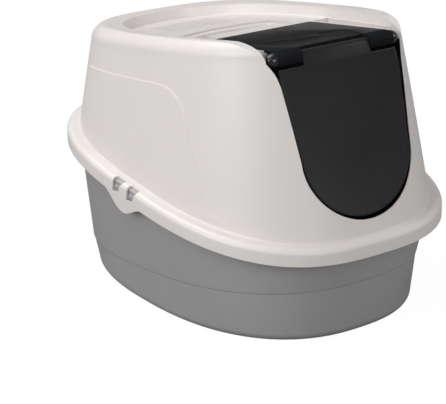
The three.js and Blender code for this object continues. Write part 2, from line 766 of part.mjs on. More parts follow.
function lidSolid() {
  const top = LID.proud;
  const low = top - LID.thick;
  const plate = prism(lidPlateShape(), low, top);
  const barrel = toSolid(barAlongX(LID.barrel, -LID.rearHalf, LID.rearHalf, LID_AXIS.y, LID_AXIS.z, SIDES.rod));
  const pinReach = LID.rearHalf + LID_PIN.length;
  const pins = toSolid(barAlongX(LID_PIN.radius, -pinReach, pinReach, LID_AXIS.y, LID_AXIS.z, SIDES.pin));
  const knuckles = [1, -1].flatMap((side) => {
    const ends = side > 0 ? [HINGE.inner, HINGE.outer] : [-HINGE.outer, -HINGE.inner];
    const lip = side > 0
      ? [HINGE.inner, HINGE.inner + KNUCKLE_RING.width]
      : [-HINGE.inner - KNUCKLE_RING.width, -HINGE.inner];
    return [
      toSolid(barAlongX(HINGE.knuckle, ...ends, HINGE.y, HINGE.z, SIDES.knuckle)),
      toSolid(barAlongX(HINGE.knuckle + KNUCKLE_RING.proud, ...lip, HINGE.y, HINGE.z, SIDES.knuckle)),
    ];
  });
  const flapRoom = FLAP.barrel + FLAP.play;
  const frontAt = HINGE.y + flapRoom;
  const ribs = [1, -1].map((side) => prism(
    sideRectangle(side, LID_RIB.half - LID_RIB.thick, LID_RIB.half, frontAt, -LID_RIB.rearAt),
    low - LID_RIB.deep,
    low + LID.thick / 2,
  ));
  const frontRib = prism(
    rectangle(-LID_RIB.half, LID_RIB.half, frontAt, frontAt + LID_RIB.thick),
    low - LID_RIB.deep,
    low + LID.thick / 2,
  );
  const barrelRoom = toSolid(barAlongX(flapRoom, -HINGE.inner, HINGE.inner, HINGE.y, HINGE.z, SIDES.knuckle));
  const frontRoom = prism(
    rectangle(-HINGE.inner, HINGE.inner, HINGE.y - OVERRUN, frontAt),
    -OVERRUN,
    OVERRUN,
  );
  const bores = toSolid(barAlongX(
    FLAP_PIN.radius + FLAP_PIN.clearance,
    -WIDTH,
    WIDTH,
    HINGE.y,
    HINGE.z,
    SIDES.bore,
  ));
  const dish = prism(lidDishShape(), top - LID_DISH.deep, top + OVERRUN);
  const body = joinAll([plate, barrel, pins, ...ribs, frontRib]);
  return cutAll(joinAll([cutAll(body, [barrelRoom, frontRoom, dish]), ...knuckles]), [bores]);
}

// Flap, in the doorway's frame with its axis at the origin and its panel in front of the axis
function flapOutline(shrink) {
  const side = FLAP.side + shrink;
  const drop = DOOR.drop - FLAP.bottomGap - shrink;
  const top = -HINGE.knuckle - FLAP_EDGE.notchGap - shrink;
  const down = (FLAP.shoulder - DOOR.topAt) / (DOOR.centre - DOOR.topAt);
  const shoulderHalf = DOOR.topHalf + (DOOR.half - DOOR.topHalf) * down - side;
  const half = DOOR.half - side;
  const shape = new THREE.Shape();
  shape.curveSteps = 2 * CURVE_STEPS;
  shape.moveTo(-FLAP.topHalf + shrink, top);
  shape.lineTo(-shoulderHalf, -FLAP.shoulder);
  shape.lineTo(-half, -DOOR.centre);
  shape.absellipse(0, -DOOR.centre, half, drop, Math.PI, 2 * Math.PI, false, 0);
  shape.lineTo(shoulderHalf, -FLAP.shoulder);
  shape.lineTo(FLAP.topHalf - shrink, top);
  shape.closePath();
  return shape;
}

function flapSolid() {
  const front = FLAP.barrel;
  const rear = FLAP.barrel - FLAP.thick;
  const end = HINGE.inner - FLAP.play;
  const panel = prism(flapOutline(0), rear, front);
  const bead = prism(flapOutline(0), front - GAP, front + FLAP_EDGE.proud)
    .subtract(prism(flapOutline(FLAP_EDGE.bead), rear, front + WALL));
  const neckLow = -HINGE.knuckle - FLAP_EDGE.notchGap - WALL;
  const neck = prism(rectangle(-end, end, neckLow, 0), rear, front);
  const barrel = toSolid(barAlongX(FLAP.barrel, -end, end, 0, 0, SIDES.barrel));
  const bores = [1, -1].map((side) => {
    const deep = HINGE.inner - FLAP_PIN.reach - FLAP.play;
    const ends = side > 0 ? [deep, WIDTH] : [-WIDTH, -deep];
    return toSolid(barAlongX(FLAP_PIN.radius + FLAP_PIN.clearance, ...ends, 0, 0, SIDES.bore));
  });
  return cutAll(joinAll([panel, bead, neck, barrel]), bores);
}

// Push-in hinge pin with a domed head, turned about its own axis
function flapPinGeometry() {
  const end = HINGE.outer + GAP;
  const tip = HINGE.inner - FLAP_PIN.reach;
  const profile = [[0, tip], [FLAP_PIN.radius - GAP, tip], [FLAP_PIN.radius, tip + GAP], [FLAP_PIN.radius, end]];
  for (let step = 0; step <= FLAP_PIN.domeSteps; step += 1) {
    const turn = (step / FLAP_PIN.domeSteps) * (Math.PI / 2);
    profile.push([FLAP_PIN.head * Math.cos(turn), end + FLAP_PIN.dome * Math.sin(turn)]);
  }
  profile[profile.length - 1][0] = 0;
  const geometry = new THREE.LatheGeometry(profile.map(([x, y]) => new THREE.Vector2(x, y)), SIDES.barrel);
  geometry.rotateZ(-Math.PI / 2);
  return geometry;
}

// Folding handle, in the deck's frame
function handleSolid() {
  const centre = HANDLE.crest - HANDLE.arc;
  const outerAngle = Math.asin((HANDLE.half - HANDLE.bevel) / (HANDLE.arc - HANDLE.bevel));
  const innerHalf = HANDLE.half - HANDLE.arm + HANDLE.bevel;
  const innerArc = HANDLE.arc - HANDLE.bar + HANDLE.bevel;
  const innerAngle = Math.asin(innerHalf / innerArc);
  const half = HANDLE.half - HANDLE.bevel;
  const end = HANDLE.pivotY;
  const nose = HANDLE.arm / 2 - HANDLE.bevel;
  const shape = new THREE.Shape();
  shape.moveTo(half, end);
  shape.absarc(0, centre, HANDLE.arc - HANDLE.bevel, Math.PI / 2 - outerAngle, Math.PI / 2 + outerAngle, false);
  shape.lineTo(-half, end);
  shape.absarc(-half + nose, end, nose, Math.PI, 2 * Math.PI, false);
  shape.lineTo(-innerHalf, end);
  shape.absarc(0, centre, innerArc, Math.PI / 2 + innerAngle, Math.PI / 2 - innerAngle, true);
  shape.lineTo(innerHalf, end);
  shape.absarc(half - nose, end, nose, Math.PI, 2 * Math.PI, false);
  const geometry = new THREE.ExtrudeGeometry(shape, {
    depth: HANDLE.thick - 2 * HANDLE.bevel,
    bevelEnabled: true,
    bevelThickness: HANDLE.bevel,
    bevelSize: HANDLE.bevel,
    bevelSegments: BEVEL_STEPS,
    curveSegments: BAIL_STEPS,
  });
  geometry.translate(0, 0, handleBottom() + HANDLE.bevel);
  const reach = HANDLE.half + HANDLE_PIN.length;
  const pins = [1, -1].map((side) => {
    const inner = HANDLE.half - HANDLE.arm / 2;
    const ends = side > 0 ? [inner, reach] : [-reach, -inner];
    return toSolid(barAlongX(HANDLE_PIN.radius, ...ends, HANDLE.pivotY, -HANDLE.pivotZ, SIDES.pin));
  });
  return joinAll([toSolid(geometry), ...pins]);
}

// Filter pad and its tray, in the deck's frame
function padSolid() {
  const centre = ventCentre();
  const top = trayTop() - GAP;
  const shape = roundedRectangle(-PAD.half, PAD.half, centre - PAD.length / 2, centre + PAD.length / 2, WALL);
  return prism(shape, top - PAD.thick, top);
}

function traySolid() {
  const centre = ventCentre();
  const top = trayTop();
  const half = PAD.half + GAP;
  const length = PAD.length / 2 + GAP;
  const floor = top - GAP - PAD.thick - GAP;
  const wall = TRAY.wall;
  const shell = prism(
    roundedRectangle(-half - wall, half + wall, centre - length - wall, centre + length + wall, WALL + wall),
    floor - wall,
    top,
  );
  const flange = prism(
    rectangle(-half - wall - TRAY.flange, half + wall + TRAY.flange, centre - length, centre + length),
    top - TRAY.flangeThick,
    top,
  );
  const room = prism(
    roundedRectangle(-half, half, centre - length, centre + length, WALL),
    floor,
    top + OVERRUN,
  );
  const slots = [];
  for (let slot = 0; slot < TRAY.slots; slot += 1) {
    const y = centre + (slot - (TRAY.slots - 1) / 2) * TRAY.slotPitch - TRAY.slotWidth / 2;
    const shape = roundedRectangle(-TRAY.slotHalf, TRAY.slotHalf, y, y + TRAY.slotWidth, TRAY.slotWidth / 2 - GAP);
    slots.push(prism(shape, floor - OVERRUN, floor + wall));
  }
  return cutAll(shell.add(flange), [room, ...slots]);
}

// Named meshes
function piece(name, solid, finish) {
  const geometry = solid instanceof THREE.BufferGeometry ? solid : toGeometry(solid);
  const mesh = new THREE.Mesh(geometry, new THREE.MeshStandardMaterial(FINISH[finish]));
  mesh.name = name;
  return mesh;
}

function flapPins() {
  return ["right", "left"].map((side) => {
    const pin = piece(`flap_pin_${side}`, flapPinGeometry(), "pin");
    pin.position.set(0, HINGE.y, HINGE.z);
    if (side === "left") pin.rotation.z = Math.PI;
    return pin;
  });
}

const deckGroup = new THREE.Group();
deckGroup.position.z = DECK_LEVEL;
deckGroup.rotation.x = -DECK_TILT;
deckGroup.add(
  piece("top_lid", lidSolid(), "lid"),
  piece("carry_handle", handleSolid(), "hood"),
  piece("filter_pad", padSolid(), "carbon"),
  piece("filter_tray", traySolid(), "hood"),
  ...flapPins(),
);

const doorGroup = new THREE.Group();
doorGroup.applyMatrix4(DOOR_FRAME);
doorGroup.add(piece("flap_door", flapSolid(), "flap"));

const litterBox = new THREE.Group();
litterBox.add(
  piece("litter_pan", panSolid(), "pan"),
  piece("latch_hooks_right", hookSolid(1), "pan"),
  piece("latch_hooks_left", hookSolid(-1), "pan"),
  piece("hood", hoodSolid(), "hood"),
  deckGroup,
  doorGroup,
);

export default litterBox;
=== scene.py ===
"""Looks of a covered litter box: pan, hood, top lid, swing flap, carry handle and filter.

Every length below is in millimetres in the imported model's frame (+Z up, front at -Y) and
becomes metres only where a mesh is made.
"""
import logging
import math
from dataclasses import astuple, dataclass, replace
from enum import Enum
from functools import cache
from typing import Iterable, Sequence

import bmesh
import bpy
import numpy as np
from bpy.types import ID, Material, NodeSocket, NodeTree, Object
from mathutils import Matrix, Vector


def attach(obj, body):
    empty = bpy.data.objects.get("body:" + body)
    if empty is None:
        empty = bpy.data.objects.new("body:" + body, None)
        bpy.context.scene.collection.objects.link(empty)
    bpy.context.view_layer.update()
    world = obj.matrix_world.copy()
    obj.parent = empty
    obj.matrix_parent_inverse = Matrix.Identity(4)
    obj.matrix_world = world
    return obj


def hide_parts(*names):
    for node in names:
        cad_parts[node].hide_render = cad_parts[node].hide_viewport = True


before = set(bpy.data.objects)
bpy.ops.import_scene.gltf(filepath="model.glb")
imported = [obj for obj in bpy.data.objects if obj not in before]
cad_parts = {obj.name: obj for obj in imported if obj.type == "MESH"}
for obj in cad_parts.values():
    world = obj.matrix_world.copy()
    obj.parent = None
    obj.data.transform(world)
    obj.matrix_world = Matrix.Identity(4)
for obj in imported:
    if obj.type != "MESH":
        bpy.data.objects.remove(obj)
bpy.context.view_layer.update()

LOG = logging.getLogger("litter_box")
MM = 0.001
QUARTER = math.pi / 2
RING_STEPS = 300

Rows = np.ndarray
Span = tuple[float, float]
Colour = tuple[float, float, float, float]

UPRIGHT = Matrix()
# Takes an outline in y and z, and its height along x.
ACROSS = Matrix(((0, 0, 1, 0), (1, 0, 0, 0), (0, 1, 0, 0), (0, 0, 0, 1)))


class Carve(Enum):
    """How one solid is combined with another."""

    CUT = "DIFFERENCE"
    JOIN = "UNION"
    KEEP = "INTERSECT"


class Side(Enum):
    """Left or right of the box, as the sign of X."""

    LEFT = -1
    RIGHT = 1

    def span(self, inner: float, outer: float) -> Span:
        """Return a reach from the middle plane as lower and upper x."""
        low, high = sorted((self.value * inner, self.value * outer))
        return low, high


# Shared sizes


@dataclass(frozen=True)
class Outline:
    """A squared ellipse in plan, with its own reach to the front and to the rear."""

    half: float
    front: float
    rear: float
    centre: float
    power: float

    def inset(self, amount: float) -> "Outline":
        """Return the outline drawn in by an amount on every side."""
        return replace(self, half=self.half - amount, front=self.front - amount, rear=self.rear - amount)

    def toward(self, other: "Outline", share: float) -> "Outline":
        """Return the outline a share of the way to another one."""
        return Outline(*(a + (b - a) * share for a, b in zip(astuple(self), astuple(other))))

    def points(self, angles: Rows) -> Rows:
        """Return the outline's points at polar angles, as rows of x and y."""
        across, along = np.cos(angles), np.sin(angles)
        reach = np.where(along < 0, self.front, self.rear)
        total = np.abs(across / self.half) ** self.power + np.abs(along / reach) ** self.power
        radius = total ** (-1 / self.power)
        return np.stack([radius * across, self.centre + radius * along], axis=1)

    def ring(self, level: float, rise: float) -> Rows:
        """Return the outline on a plane that rises along Y, as rows of x, y and z."""
        plan = self.points(np.arange(RING_STEPS) * 2 * math.pi / RING_STEPS)
        return np.column_stack([plan, level + rise * plan[:, 1]])


@dataclass(frozen=True)
class Axis:
    """A line along X of a frame."""

    y: float
    z: float
    place: Matrix


@dataclass(frozen=True)
class BoxSizes:
    """Sizes that more than one sub-assembly uses."""

    length: float = 610.0
    width: float = 457.0
    height: float = 426.0
    wall: float = 3.0
    gap: float = 0.3
    over: float = 40.0
    brim_low: float = 170.0
    brim_top: float = 193.5
    brim_bead: float = 8.0
    brim_power: float = 2.75
    brim_rise: float = 0.134
    fall: float = 0.132
    tip: float = 145.0
    deck_drop: float = 20.0
    hinge_y: float = -192.7
    hinge_z: float = -11.2
    knuckle: float = 11.0
    knuckle_inner: float = 61.5
    knuckle_outer: float = 104.0
    pin_bore: float = 4.35
    pin_dome: float = 14.0
    lean: float = 0.35
    door_half: float = 100.0
    door_centre: float = 145.5
    door_drop: float = 97.0
    lid_rear: float = 17.0
    lid_proud: float = 0.8
    lid_barrel: float = 5.5
    lid_rear_half: float = 103.3
    flap_barrel: float = 7.5
    flap_play: float = 1.5
    handle_half: float = 84.0
    handle_reach: float = 228.0
    handle_crest: float = 76.0
    handle_y: float = 5.0
    handle_z: float = -5.5

    @property
    def brim(self) -> Outline:
        """The brim's outer outline."""
        return Outline(self.width / 2, self.length / 2, self.length / 2, 0.0, self.brim_power)

    @property
    def rim_level(self) -> float:
        """Height of the sloping rim plane over the origin."""
        return self.height - self.fall * self.tip

    @property
    def deck_front(self) -> float:
        """Where the deck ends in front, under the lid's rear edge."""
        return -(self.lid_rear - self.lid_barrel - 2 * self.gap)

    @property
    def deck(self) -> Matrix:
        """Frame of the sloping deck, in millimetres."""
        spot = (0, 0, self.rim_level - self.deck_drop)
        return Matrix.Translation(spot) @ Matrix.Rotation(-math.atan(self.fall), 4, "X")

    @property
    def door(self) -> Matrix:
        """Frame of the doorway: X across, Y up the slope, Z out, origin on the flap's axis."""
        turn = math.atan(self.lean)
        spot = self.deck @ Vector((0, self.hinge_y, self.hinge_z))
        return Matrix((
            (1, 0, 0, 0),
            (0, math.sin(turn), -math.cos(turn), spot.y),
            (0, math.cos(turn), math.sin(turn), spot.z),
            (0, 0, 0, 1),
        ))

    @property
    def hinge(self) -> Axis:
        """The flap's axis, in the deck's frame."""
        return Axis(self.hinge_y, self.hinge_z, self.deck)

    @property
    def lid_axis(self) -> Axis:
        """The lid's axis."""
        return Axis(-self.lid_rear, self.lid_proud - self.lid_barrel, self.deck)

    @property
    def handle_axis(self) -> Axis:
        """The handle's axis."""
        return Axis(self.handle_y, self.handle_z, self.deck)


SIZES = BoxSizes()


# Outlines


def arc(centre: Sequence[float], radii: float | Span, start: float, end: float, steps: int) -> Rows:
    """Return points on a circle or ellipse from one angle in radians to another, ends included."""
    turn = np.linspace(start, end, steps + 1)
    wide, deep = np.broadcast_to(radii, 2)
    return np.stack([centre[0] + wide * np.cos(turn), centre[1] + deep * np.sin(turn)], axis=1)


def bezier(points: Sequence[Sequence[float]], steps: int) -> Rows:
    """Return points on the curve of three or four control points, ends included."""
    share = np.linspace(0, 1, steps + 1)[:, None]
    level = [np.asarray(p, float)[None, :] for p in points]
    while len(level) > 1:
        level = [a * (1 - share) + b * share for a, b in zip(level, level[1:])]
    return level[0]


def tidy(points: Rows) -> Rows:
    """Drop points that repeat their neighbour, and put the outline counter-clockwise."""
    points = points[np.linalg.norm(points - np.roll(points, 1, axis=0), axis=1) > 1e-4]
    x, y = points.T
    area = float(np.sum(x * np.roll(y, -1) - np.roll(x, -1) * y))
    return points if area > 0 else points[::-1]


def mirrored(points: Rows) -> Rows:
    """Return points on the other side of the middle plane, in reverse order."""
    return points[::-1] * (-1, 1)


def resample(points: Rows, spacing: float) -> Rows:
    """Tidy an outline and split its long chords so that none exceeds a spacing."""
    points = tidy(points)
    out = []
    for here, there in zip(points, np.roll(points, -1, axis=0)):
        count = max(1, math.ceil(float(np.linalg.norm(there - here)) / spacing))
        out.append(here + (there - here) * np.arange(count)[:, None] / count)
    return np.concatenate(out)


def offset(points: Rows, amount: float) -> Rows:
    """Move a counter-clockwise outline outward by an amount, along its corner normals."""
    sharpest = 0.35
    ahead = np.roll(points, -1, axis=0) - points
    ahead /= np.linalg.norm(ahead, axis=1)[:, None]
    behind = np.roll(ahead, 1, axis=0)
    normal = np.stack([ahead[:, 1] + behind[:, 1], -(ahead[:, 0] + behind[:, 0])], axis=1)
    size = np.linalg.norm(normal, axis=1)[:, None]
    return points + normal / size * amount / np.clip(size / 2, sharpest, 1.0)


def at_height(points: Rows, height: float) -> Rows:
    """Lift rows of x and y to x, y, z at one height."""
    return np.column_stack([points, np.full(len(points), height)])


# Solids


def linked(name: str, data: ID) -> Object:
    """Return a new object of the scene that shows some data."""
    made = bpy.data.objects.new(name, data)
    bpy.context.scene.collection.objects.link(made)
    return made


def mesh_object(name: str, vertices: Rows, faces: Iterable[Sequence[int]]) -> Object:
    """Make an object from millimetre points and faces that run counter-clockwise from outside."""
    mesh = bpy.data.meshes.new(name)
    mesh.from_pydata((np.asarray(vertices) * MM).tolist(), [], [list(f) for f in faces])
    mesh.validate()
    return linked(name, mesh)


def placed(points: Rows, place: Matrix) -> Rows:
    """Return points moved by a millimetre matrix."""
    return points @ np.array(place.to_3x3()).T + np.array(place.translation)


def loft(name: str, rings: Sequence[Rows], place: Matrix = UPRIGHT) -> Object:
    """Skin rings of equal length from the bottom up and close both ends.

    Args:
        name: the object's name.
        rings: each a counter-clockwise loop of x, y, z rows.
        place: frame that the rings are in.

    Returns:
        A closed solid.
    """
    count = len(rings[0])
    here = np.arange(count)
    there = np.roll(here, -1)
    faces: list[list[int]] = []
    for level in range(len(rings) - 1):
        low, high = level * count, (level + 1) * count
        faces += np.stack([low + here, low + there, high + there, high + here], axis=1).tolist()
    faces += [here[::-1].tolist(), ((len(rings) - 1) * count + here).tolist()]
    return mesh_object(name, placed(np.concatenate(rings), place), faces)


def prism(name: str, points: Rows, low: float, high: float, place: Matrix) -> Object:
    """Extrude an outline between two heights of a frame."""
    points = tidy(points)
    return loft(name, [at_height(points, low), at_height(points, high)], place)


def stepped(name: str, points: Rows, steps: Iterable[Span], place: Matrix) -> Object:
    """Skin an outline from the bottom up, in steps of how far outward and how high."""
    points = tidy(points)
    return loft(name, [at_height(offset(points, out), height) for out, height in steps], place)


def plate(name: str, points: Rows, heights: Span, edges: Span, place: Matrix, steps: int = 4) -> Object:
    """Extrude an outline with rounded lower and upper edges.

    Args:
        name: the object's name.
        points: rows of x and y of the widest section.
        heights: lower and upper height.
        edges: radius of the lower and of the upper edge.
        place: frame of the outline.
        steps: chords in each rounded edge.

    Returns:
        A closed solid.
    """
    (low, high), (below, above) = heights, edges
    turns = np.linspace(0, QUARTER, steps + 1)
    rings = [(-below * (1 - math.sin(t)), low + below * (1 - math.cos(t))) for t in turns]
    rings += [(-above * (1 - math.cos(t)), high - above * (1 - math.sin(t))) for t in turns]
    return stepped(name, points, rings, place)


def both(half: float) -> Span:
    """Return the same reach to the left and to the right."""
    return (-half, half)


def block(name: str, across: Span, along: Span, up: Span, place: Matrix) -> Object:
    """Make a rectangular block from its reach along X, Y and Z of a frame."""
    (left, right), (front, rear) = across, along
    corners = np.array([[left, front], [right, front], [right, rear], [left, rear]], float)
    return prism(name, corners, *up, place)


def pair(name: str, across: Span, along: Span, up: Span, place: Matrix) -> list[Object]:
    """Make two blocks that mirror each other, given from the middle plane outward, the left first."""
    return [block(name, side.span(*across), along, up, place) for side in Side]


def turned(name: str, profile: Rows, axis: Axis, steps: int = 64) -> Object:
    """Turn a profile about an axis.

    Args:
        name: the object's name.
        profile: rows of x and radius, from one end to the other, both on the axis.
        axis: the axis.
        steps: chords in a full turn.

    Returns:
        A closed solid.
    """
    turn = np.arange(steps) * 2 * math.pi / steps
    vertices = [[profile[0][0], axis.y, axis.z]]
    for x, radius in profile[1:-1]:
        vertices += [[x, axis.y + radius * math.cos(t), axis.z + radius * math.sin(t)] for t in turn]
    vertices.append([profile[-1][0], axis.y, axis.z])
    top = 1 + (len(profile) - 3) * steps
    faces: list[list[int]] = []
    for k in range(steps):
        n = (k + 1) % steps
        faces.append([0, 1 + n, 1 + k])
        for low in range(1, top, steps):
            faces.append([low + k, low + n, low + steps + n, low + steps + k])
        faces.append([top + k, top + n, len(vertices) - 1])
    if profile[-1][0] < profile[0][0]:
        faces = [f[::-1] for f in faces]
    return mesh_object(name, placed(np.array(vertices), axis.place), faces)


def bar(name: str, radius: float, ends: Span, axis: Axis, edge: float = 0.0, steps: int = 64) -> Object:
    """Make a round bar on an axis.

    Args:
        name: the object's name.
        radius: its radius.
        ends: x of its lower and upper end.
        axis: its axis.
        edge: radius of its end edges.
        steps: chords round it.

    Returns:
        A closed solid.
    """
    low, high = ends
    turns = np.linspace(0, QUARTER, 4 if edge else 1)
    bend = [(edge * (1 - math.sin(t)), radius - edge + edge * math.cos(t)) for t in turns]
    start, end = [(low + x, r) for x, r in bend[::-1]], [(high - x, r) for x, r in bend]
    return turned(name, np.array([(low, 0.0), *start, *end, (high, 0.0)]), axis, steps)


def bake(thing: Object) -> None:
    """Give an object the mesh that its modifiers make, and clear them."""
    graph = bpy.context.evaluated_depsgraph_get()
    made = bpy.data.meshes.new_from_object(thing.evaluated_get(graph))
    thing.modifiers.clear()
    old = thing.data
    thing.data = made
    bpy.data.meshes.remove(old)


def combine(how: Carve, body: Object, *tools: Object) -> Object:
    """Change a solid by others, one after another, and remove them.

    Args:
        how: what is done.
        body: the solid that changes.
        tools: the solids that are used up.

    Returns:
        The changed body.
    """
    for tool in tools:
        step = body.modifiers.new("carve", "BOOLEAN")
        step.operation = how.value
        step.solver = "MANIFOLD"
        step.object = tool
        bake(body)
        mesh = tool.data
        bpy.data.objects.remove(tool)
        bpy.data.meshes.remove(mesh)
    return body


def cut(body: Object, *tools: Object) -> Object:
    """Cut solids out of a body."""
    return combine(Carve.CUT, body, *tools)


def join(body: Object, *parts: Object) -> Object:
    """Join solids to a body."""
    return combine(Carve.JOIN, body, *parts)


# Node trees


class Wire:
    """A socket of a node tree that can be written in sums."""

    def __init__(self, tree: NodeTree, socket: NodeSocket) -> None:
        """Wrap a socket of a tree."""
        self.tree = tree
        self.socket = socket

    def _sum(self, operation: str, first: "Wire | float", second: "Wire | float") -> "Wire":
        """Add a Math node for two values."""
        return node(self.tree, "ShaderNodeMath", {"operation": operation}, {0: first, 1: second})

    def __add__(self, other: "Wire | float") -> "Wire":
        """Add."""
        return self._sum("ADD", self, other)

    __radd__ = __add__

    def __mul__(self, other: "Wire | float") -> "Wire":
        """Multiply."""
        return self._sum("MULTIPLY", self, other)

    __rmul__ = __mul__

    def __sub__(self, other: "Wire | float") -> "Wire":
        """Subtract."""
        return self._sum("SUBTRACT", self, other)

    def __rsub__(self, other: float) -> "Wire":
        """Subtract from a number."""
        return self._sum("SUBTRACT", other, self)

    def span(self, low: float, high: float) -> "Wire":
        """Return how far the value is from low to high, held between 0 and 1."""
        return node(self.tree, "ShaderNodeMapRange", {"interpolation_type": "SMOOTHSTEP"},
                    {"Value": self, "From Min": low, "From Max": high, "To Min": 0.0, "To Max": 1.0})


def node(
    tree: NodeTree,
    kind: str,
    settings: dict[str, object] | None = None,
    inputs: dict[str | int, object] | None = None,
    output: str | int = 0,
) -> Wire:
    """Add a node to a tree.

    Args:
        tree: the tree.
        kind: the node's type.
        settings: its properties.
        inputs: for each socket a value, the wire that leads there or a list of wires.
        output: which output is returned.

    Returns:
        The chosen output.
    """
    made = tree.nodes.new(kind)
    for name, value in (settings or {}).items():
        setattr(made, name, value)
    for name, value in (inputs or {}).items():
        for part in value if isinstance(value, list) else [value]:
            if isinstance(part, Wire):
                tree.links.new(part.socket, made.inputs[name])
            else:
                made.inputs[name].default_value = part
    return Wire(tree, made.outputs[output])


def lead_out(kind: str, name: str, wire: Wire) -> None:
    """Lead a wire to a new output node of its tree."""
    wire.tree.links.new(wire.socket, wire.tree.nodes.new(kind).inputs[name])


def fresh_tree(owner: ID) -> NodeTree:
    """Switch on the nodes of a material or world and return its emptied tree."""
    owner.use_nodes = True
    owner.node_tree.nodes.clear()
    return owner.node_tree


# Repeated slots


@dataclass(frozen=True)
class SlotRow:
    """A row of equal round-ended slots, made by a geometry tree and used to cut a piece."""

    count: int
    pitch: float
    half: float
    width: float
    depth: float
    roundness: float = 0.49
    corner_steps: int = 6
    weld: float = 1e-6

    def values(self) -> dict[str, float]:
        """Return the tree's inputs by name, lengths in metres."""
        lengths = {"Pitch": self.pitch, "Half": self.half, "Width": self.width, "Depth": self.depth}
        return {"Count": self.count, **{name: length * MM for name, length in lengths.items()}}

    def tree(self) -> NodeTree:
        """Build the tree: one slot body, repeated along Y."""
        tree = bpy.data.node_groups.new("slot_row", "GeometryNodeTree")
        tree.interface.new_socket("Geometry", in_out="OUTPUT", socket_type="NodeSocketGeometry")
        for name, value in self.values().items():
            kind = "NodeSocketInt" if isinstance(value, int) else "NodeSocketFloat"
            tree.interface.new_socket(name, in_out="INPUT", socket_type=kind)
        given = tree.nodes.new("NodeGroupInput").outputs
        count, pitch, half, width, depth = (Wire(tree, given[name]) for name in self.values())

        def add(kind: str, settings: dict[str, object] | None = None, **inputs: object) -> Wire:
            """Add a geometry node."""
            return node(tree, f"GeometryNode{kind}", settings, inputs)

        step = node(tree, "ShaderNodeCombineXYZ", None, {"Y": pitch})
        up = node(tree, "ShaderNodeCombineXYZ", None, {"Z": depth})
        spots = add("MeshLine", Count=count, Offset=step)
        plan = add("CurvePrimitiveQuadrilateral", Width=half * 2.0, Height=width)
        plan = add("FilletCurve", {"mode": "POLY"}, Curve=plan, Radius=width * self.roundness,
                   Count=self.corner_steps)
        floor = add("FillCurve", {"mode": "NGONS"}, Curve=plan)
        sides = add("ExtrudeMesh", Mesh=floor, Offset=up, Individual=False)
        both = add("JoinGeometry", Geometry=[sides, add("FlipFaces", Mesh=floor)])
        slot = add("MergeByDistance", Geometry=both, Distance=self.weld)
        row = add("RealizeInstances", Geometry=add("InstanceOnPoints", Points=spots, Instance=slot))
        lead_out("NodeGroupOutput", "Geometry", add("SetMaterial", Geometry=row))
        return tree

    def cutter(self, name: str, first: float, low: float, place: Matrix) -> Object:
        """Return the slots as one object.

        Args:
            name: the object's name.
            first: y of the first slot's middle.
            low: height of the slots' floor.
            place: frame that the slots lie in.

        Returns:
            A closed solid for each slot, in one mesh.
        """
        holder = mesh_object(name, np.zeros((1, 3)), [])
        tree = self.tree()
        grow = holder.modifiers.new("slots", "NODES")
        grow.node_group = tree
        for socket in tree.interface.items_tree:
            if socket.in_out == "INPUT":
                grow[socket.identifier] = self.values()[socket.name]
        bake(holder)
        bpy.data.node_groups.remove(tree)
        made = holder.data
        points = np.empty(len(made.vertices) * 3)
        made.vertices.foreach_get("co", points)
        moved = placed(points.reshape(-1, 3) / MM, place @ Matrix.Translation((0, first, low))) * MM
        made.vertices.foreach_set("co", moved.ravel())
        made.update()
        work = bmesh.new()
        work.from_mesh(made)
        bmesh.ops.recalc_face_normals(work, faces=work.faces)
        work.to_mesh(made)
        work.free()
        return holder


# Finishes


def linear(*levels: int) -> Colour:
    """Turn 8-bit screen levels into a linear colour."""
    def one(level: int) -> float:
        """Turn one level."""
        share = level / 255
        return share / 12.92 if share <= 0.04045 else ((share + 0.055) / 1.055) ** 2.4

    red, green, blue = (one(level) for level in levels)
    return (red, green, blue, 1.0)


def scaled(colour: Colour, factor: float) -> Colour:
    """Return a colour made lighter or darker by a factor."""
    red, green, blue = (min(1.0, channel * factor) for channel in colour[:3])
    return (red, green, blue, 1.0)


def noise(place: Wire, scale: float, detail: float, roughness: float) -> Wire:
    """Return cloudy noise at a place."""
    return node(place.tree, "ShaderNodeTexNoise", None,
                {"Vector": place, "Scale": scale, "Detail": detail, "Roughness": roughness})


def mixed(share: Wire, first: Colour, second: Colour) -> Wire:
    """Return a colour a share of the way from one to another."""
    return node(share.tree, "ShaderNodeMix", {"data_type": "RGBA"},
                {"Factor": share, "A": first, "B": second}, output="Result")


def raised(height: Wire, distance: float, strength: float) -> Wire:
    """Return the normal of a surface with a fine relief, its distance in metres."""
    return node(height.tree, "ShaderNodeBump", None,
                {"Height": height, "Distance": distance, "Strength": strength})


@dataclass(frozen=True)
class Finish:
    """A finish with its name and base colour."""

    name: str
    colour: Colour

    def inputs(self, place: Wire) -> dict[str, object]:
        """Return the surface shader's inputs at a place."""
        raise NotImplementedError

    def build(self) -> Material:
        """Return the material."""
        made = bpy.data.materials.new(self.name)
        tree = fresh_tree(made)
        place = node(tree, "ShaderNodeTexCoord", output="Object")
        shader = node(tree, "ShaderNodeBsdfPrincipled", None, self.inputs(place))
        lead_out("ShaderNodeOutputMaterial", "Surface", shader)
        return made


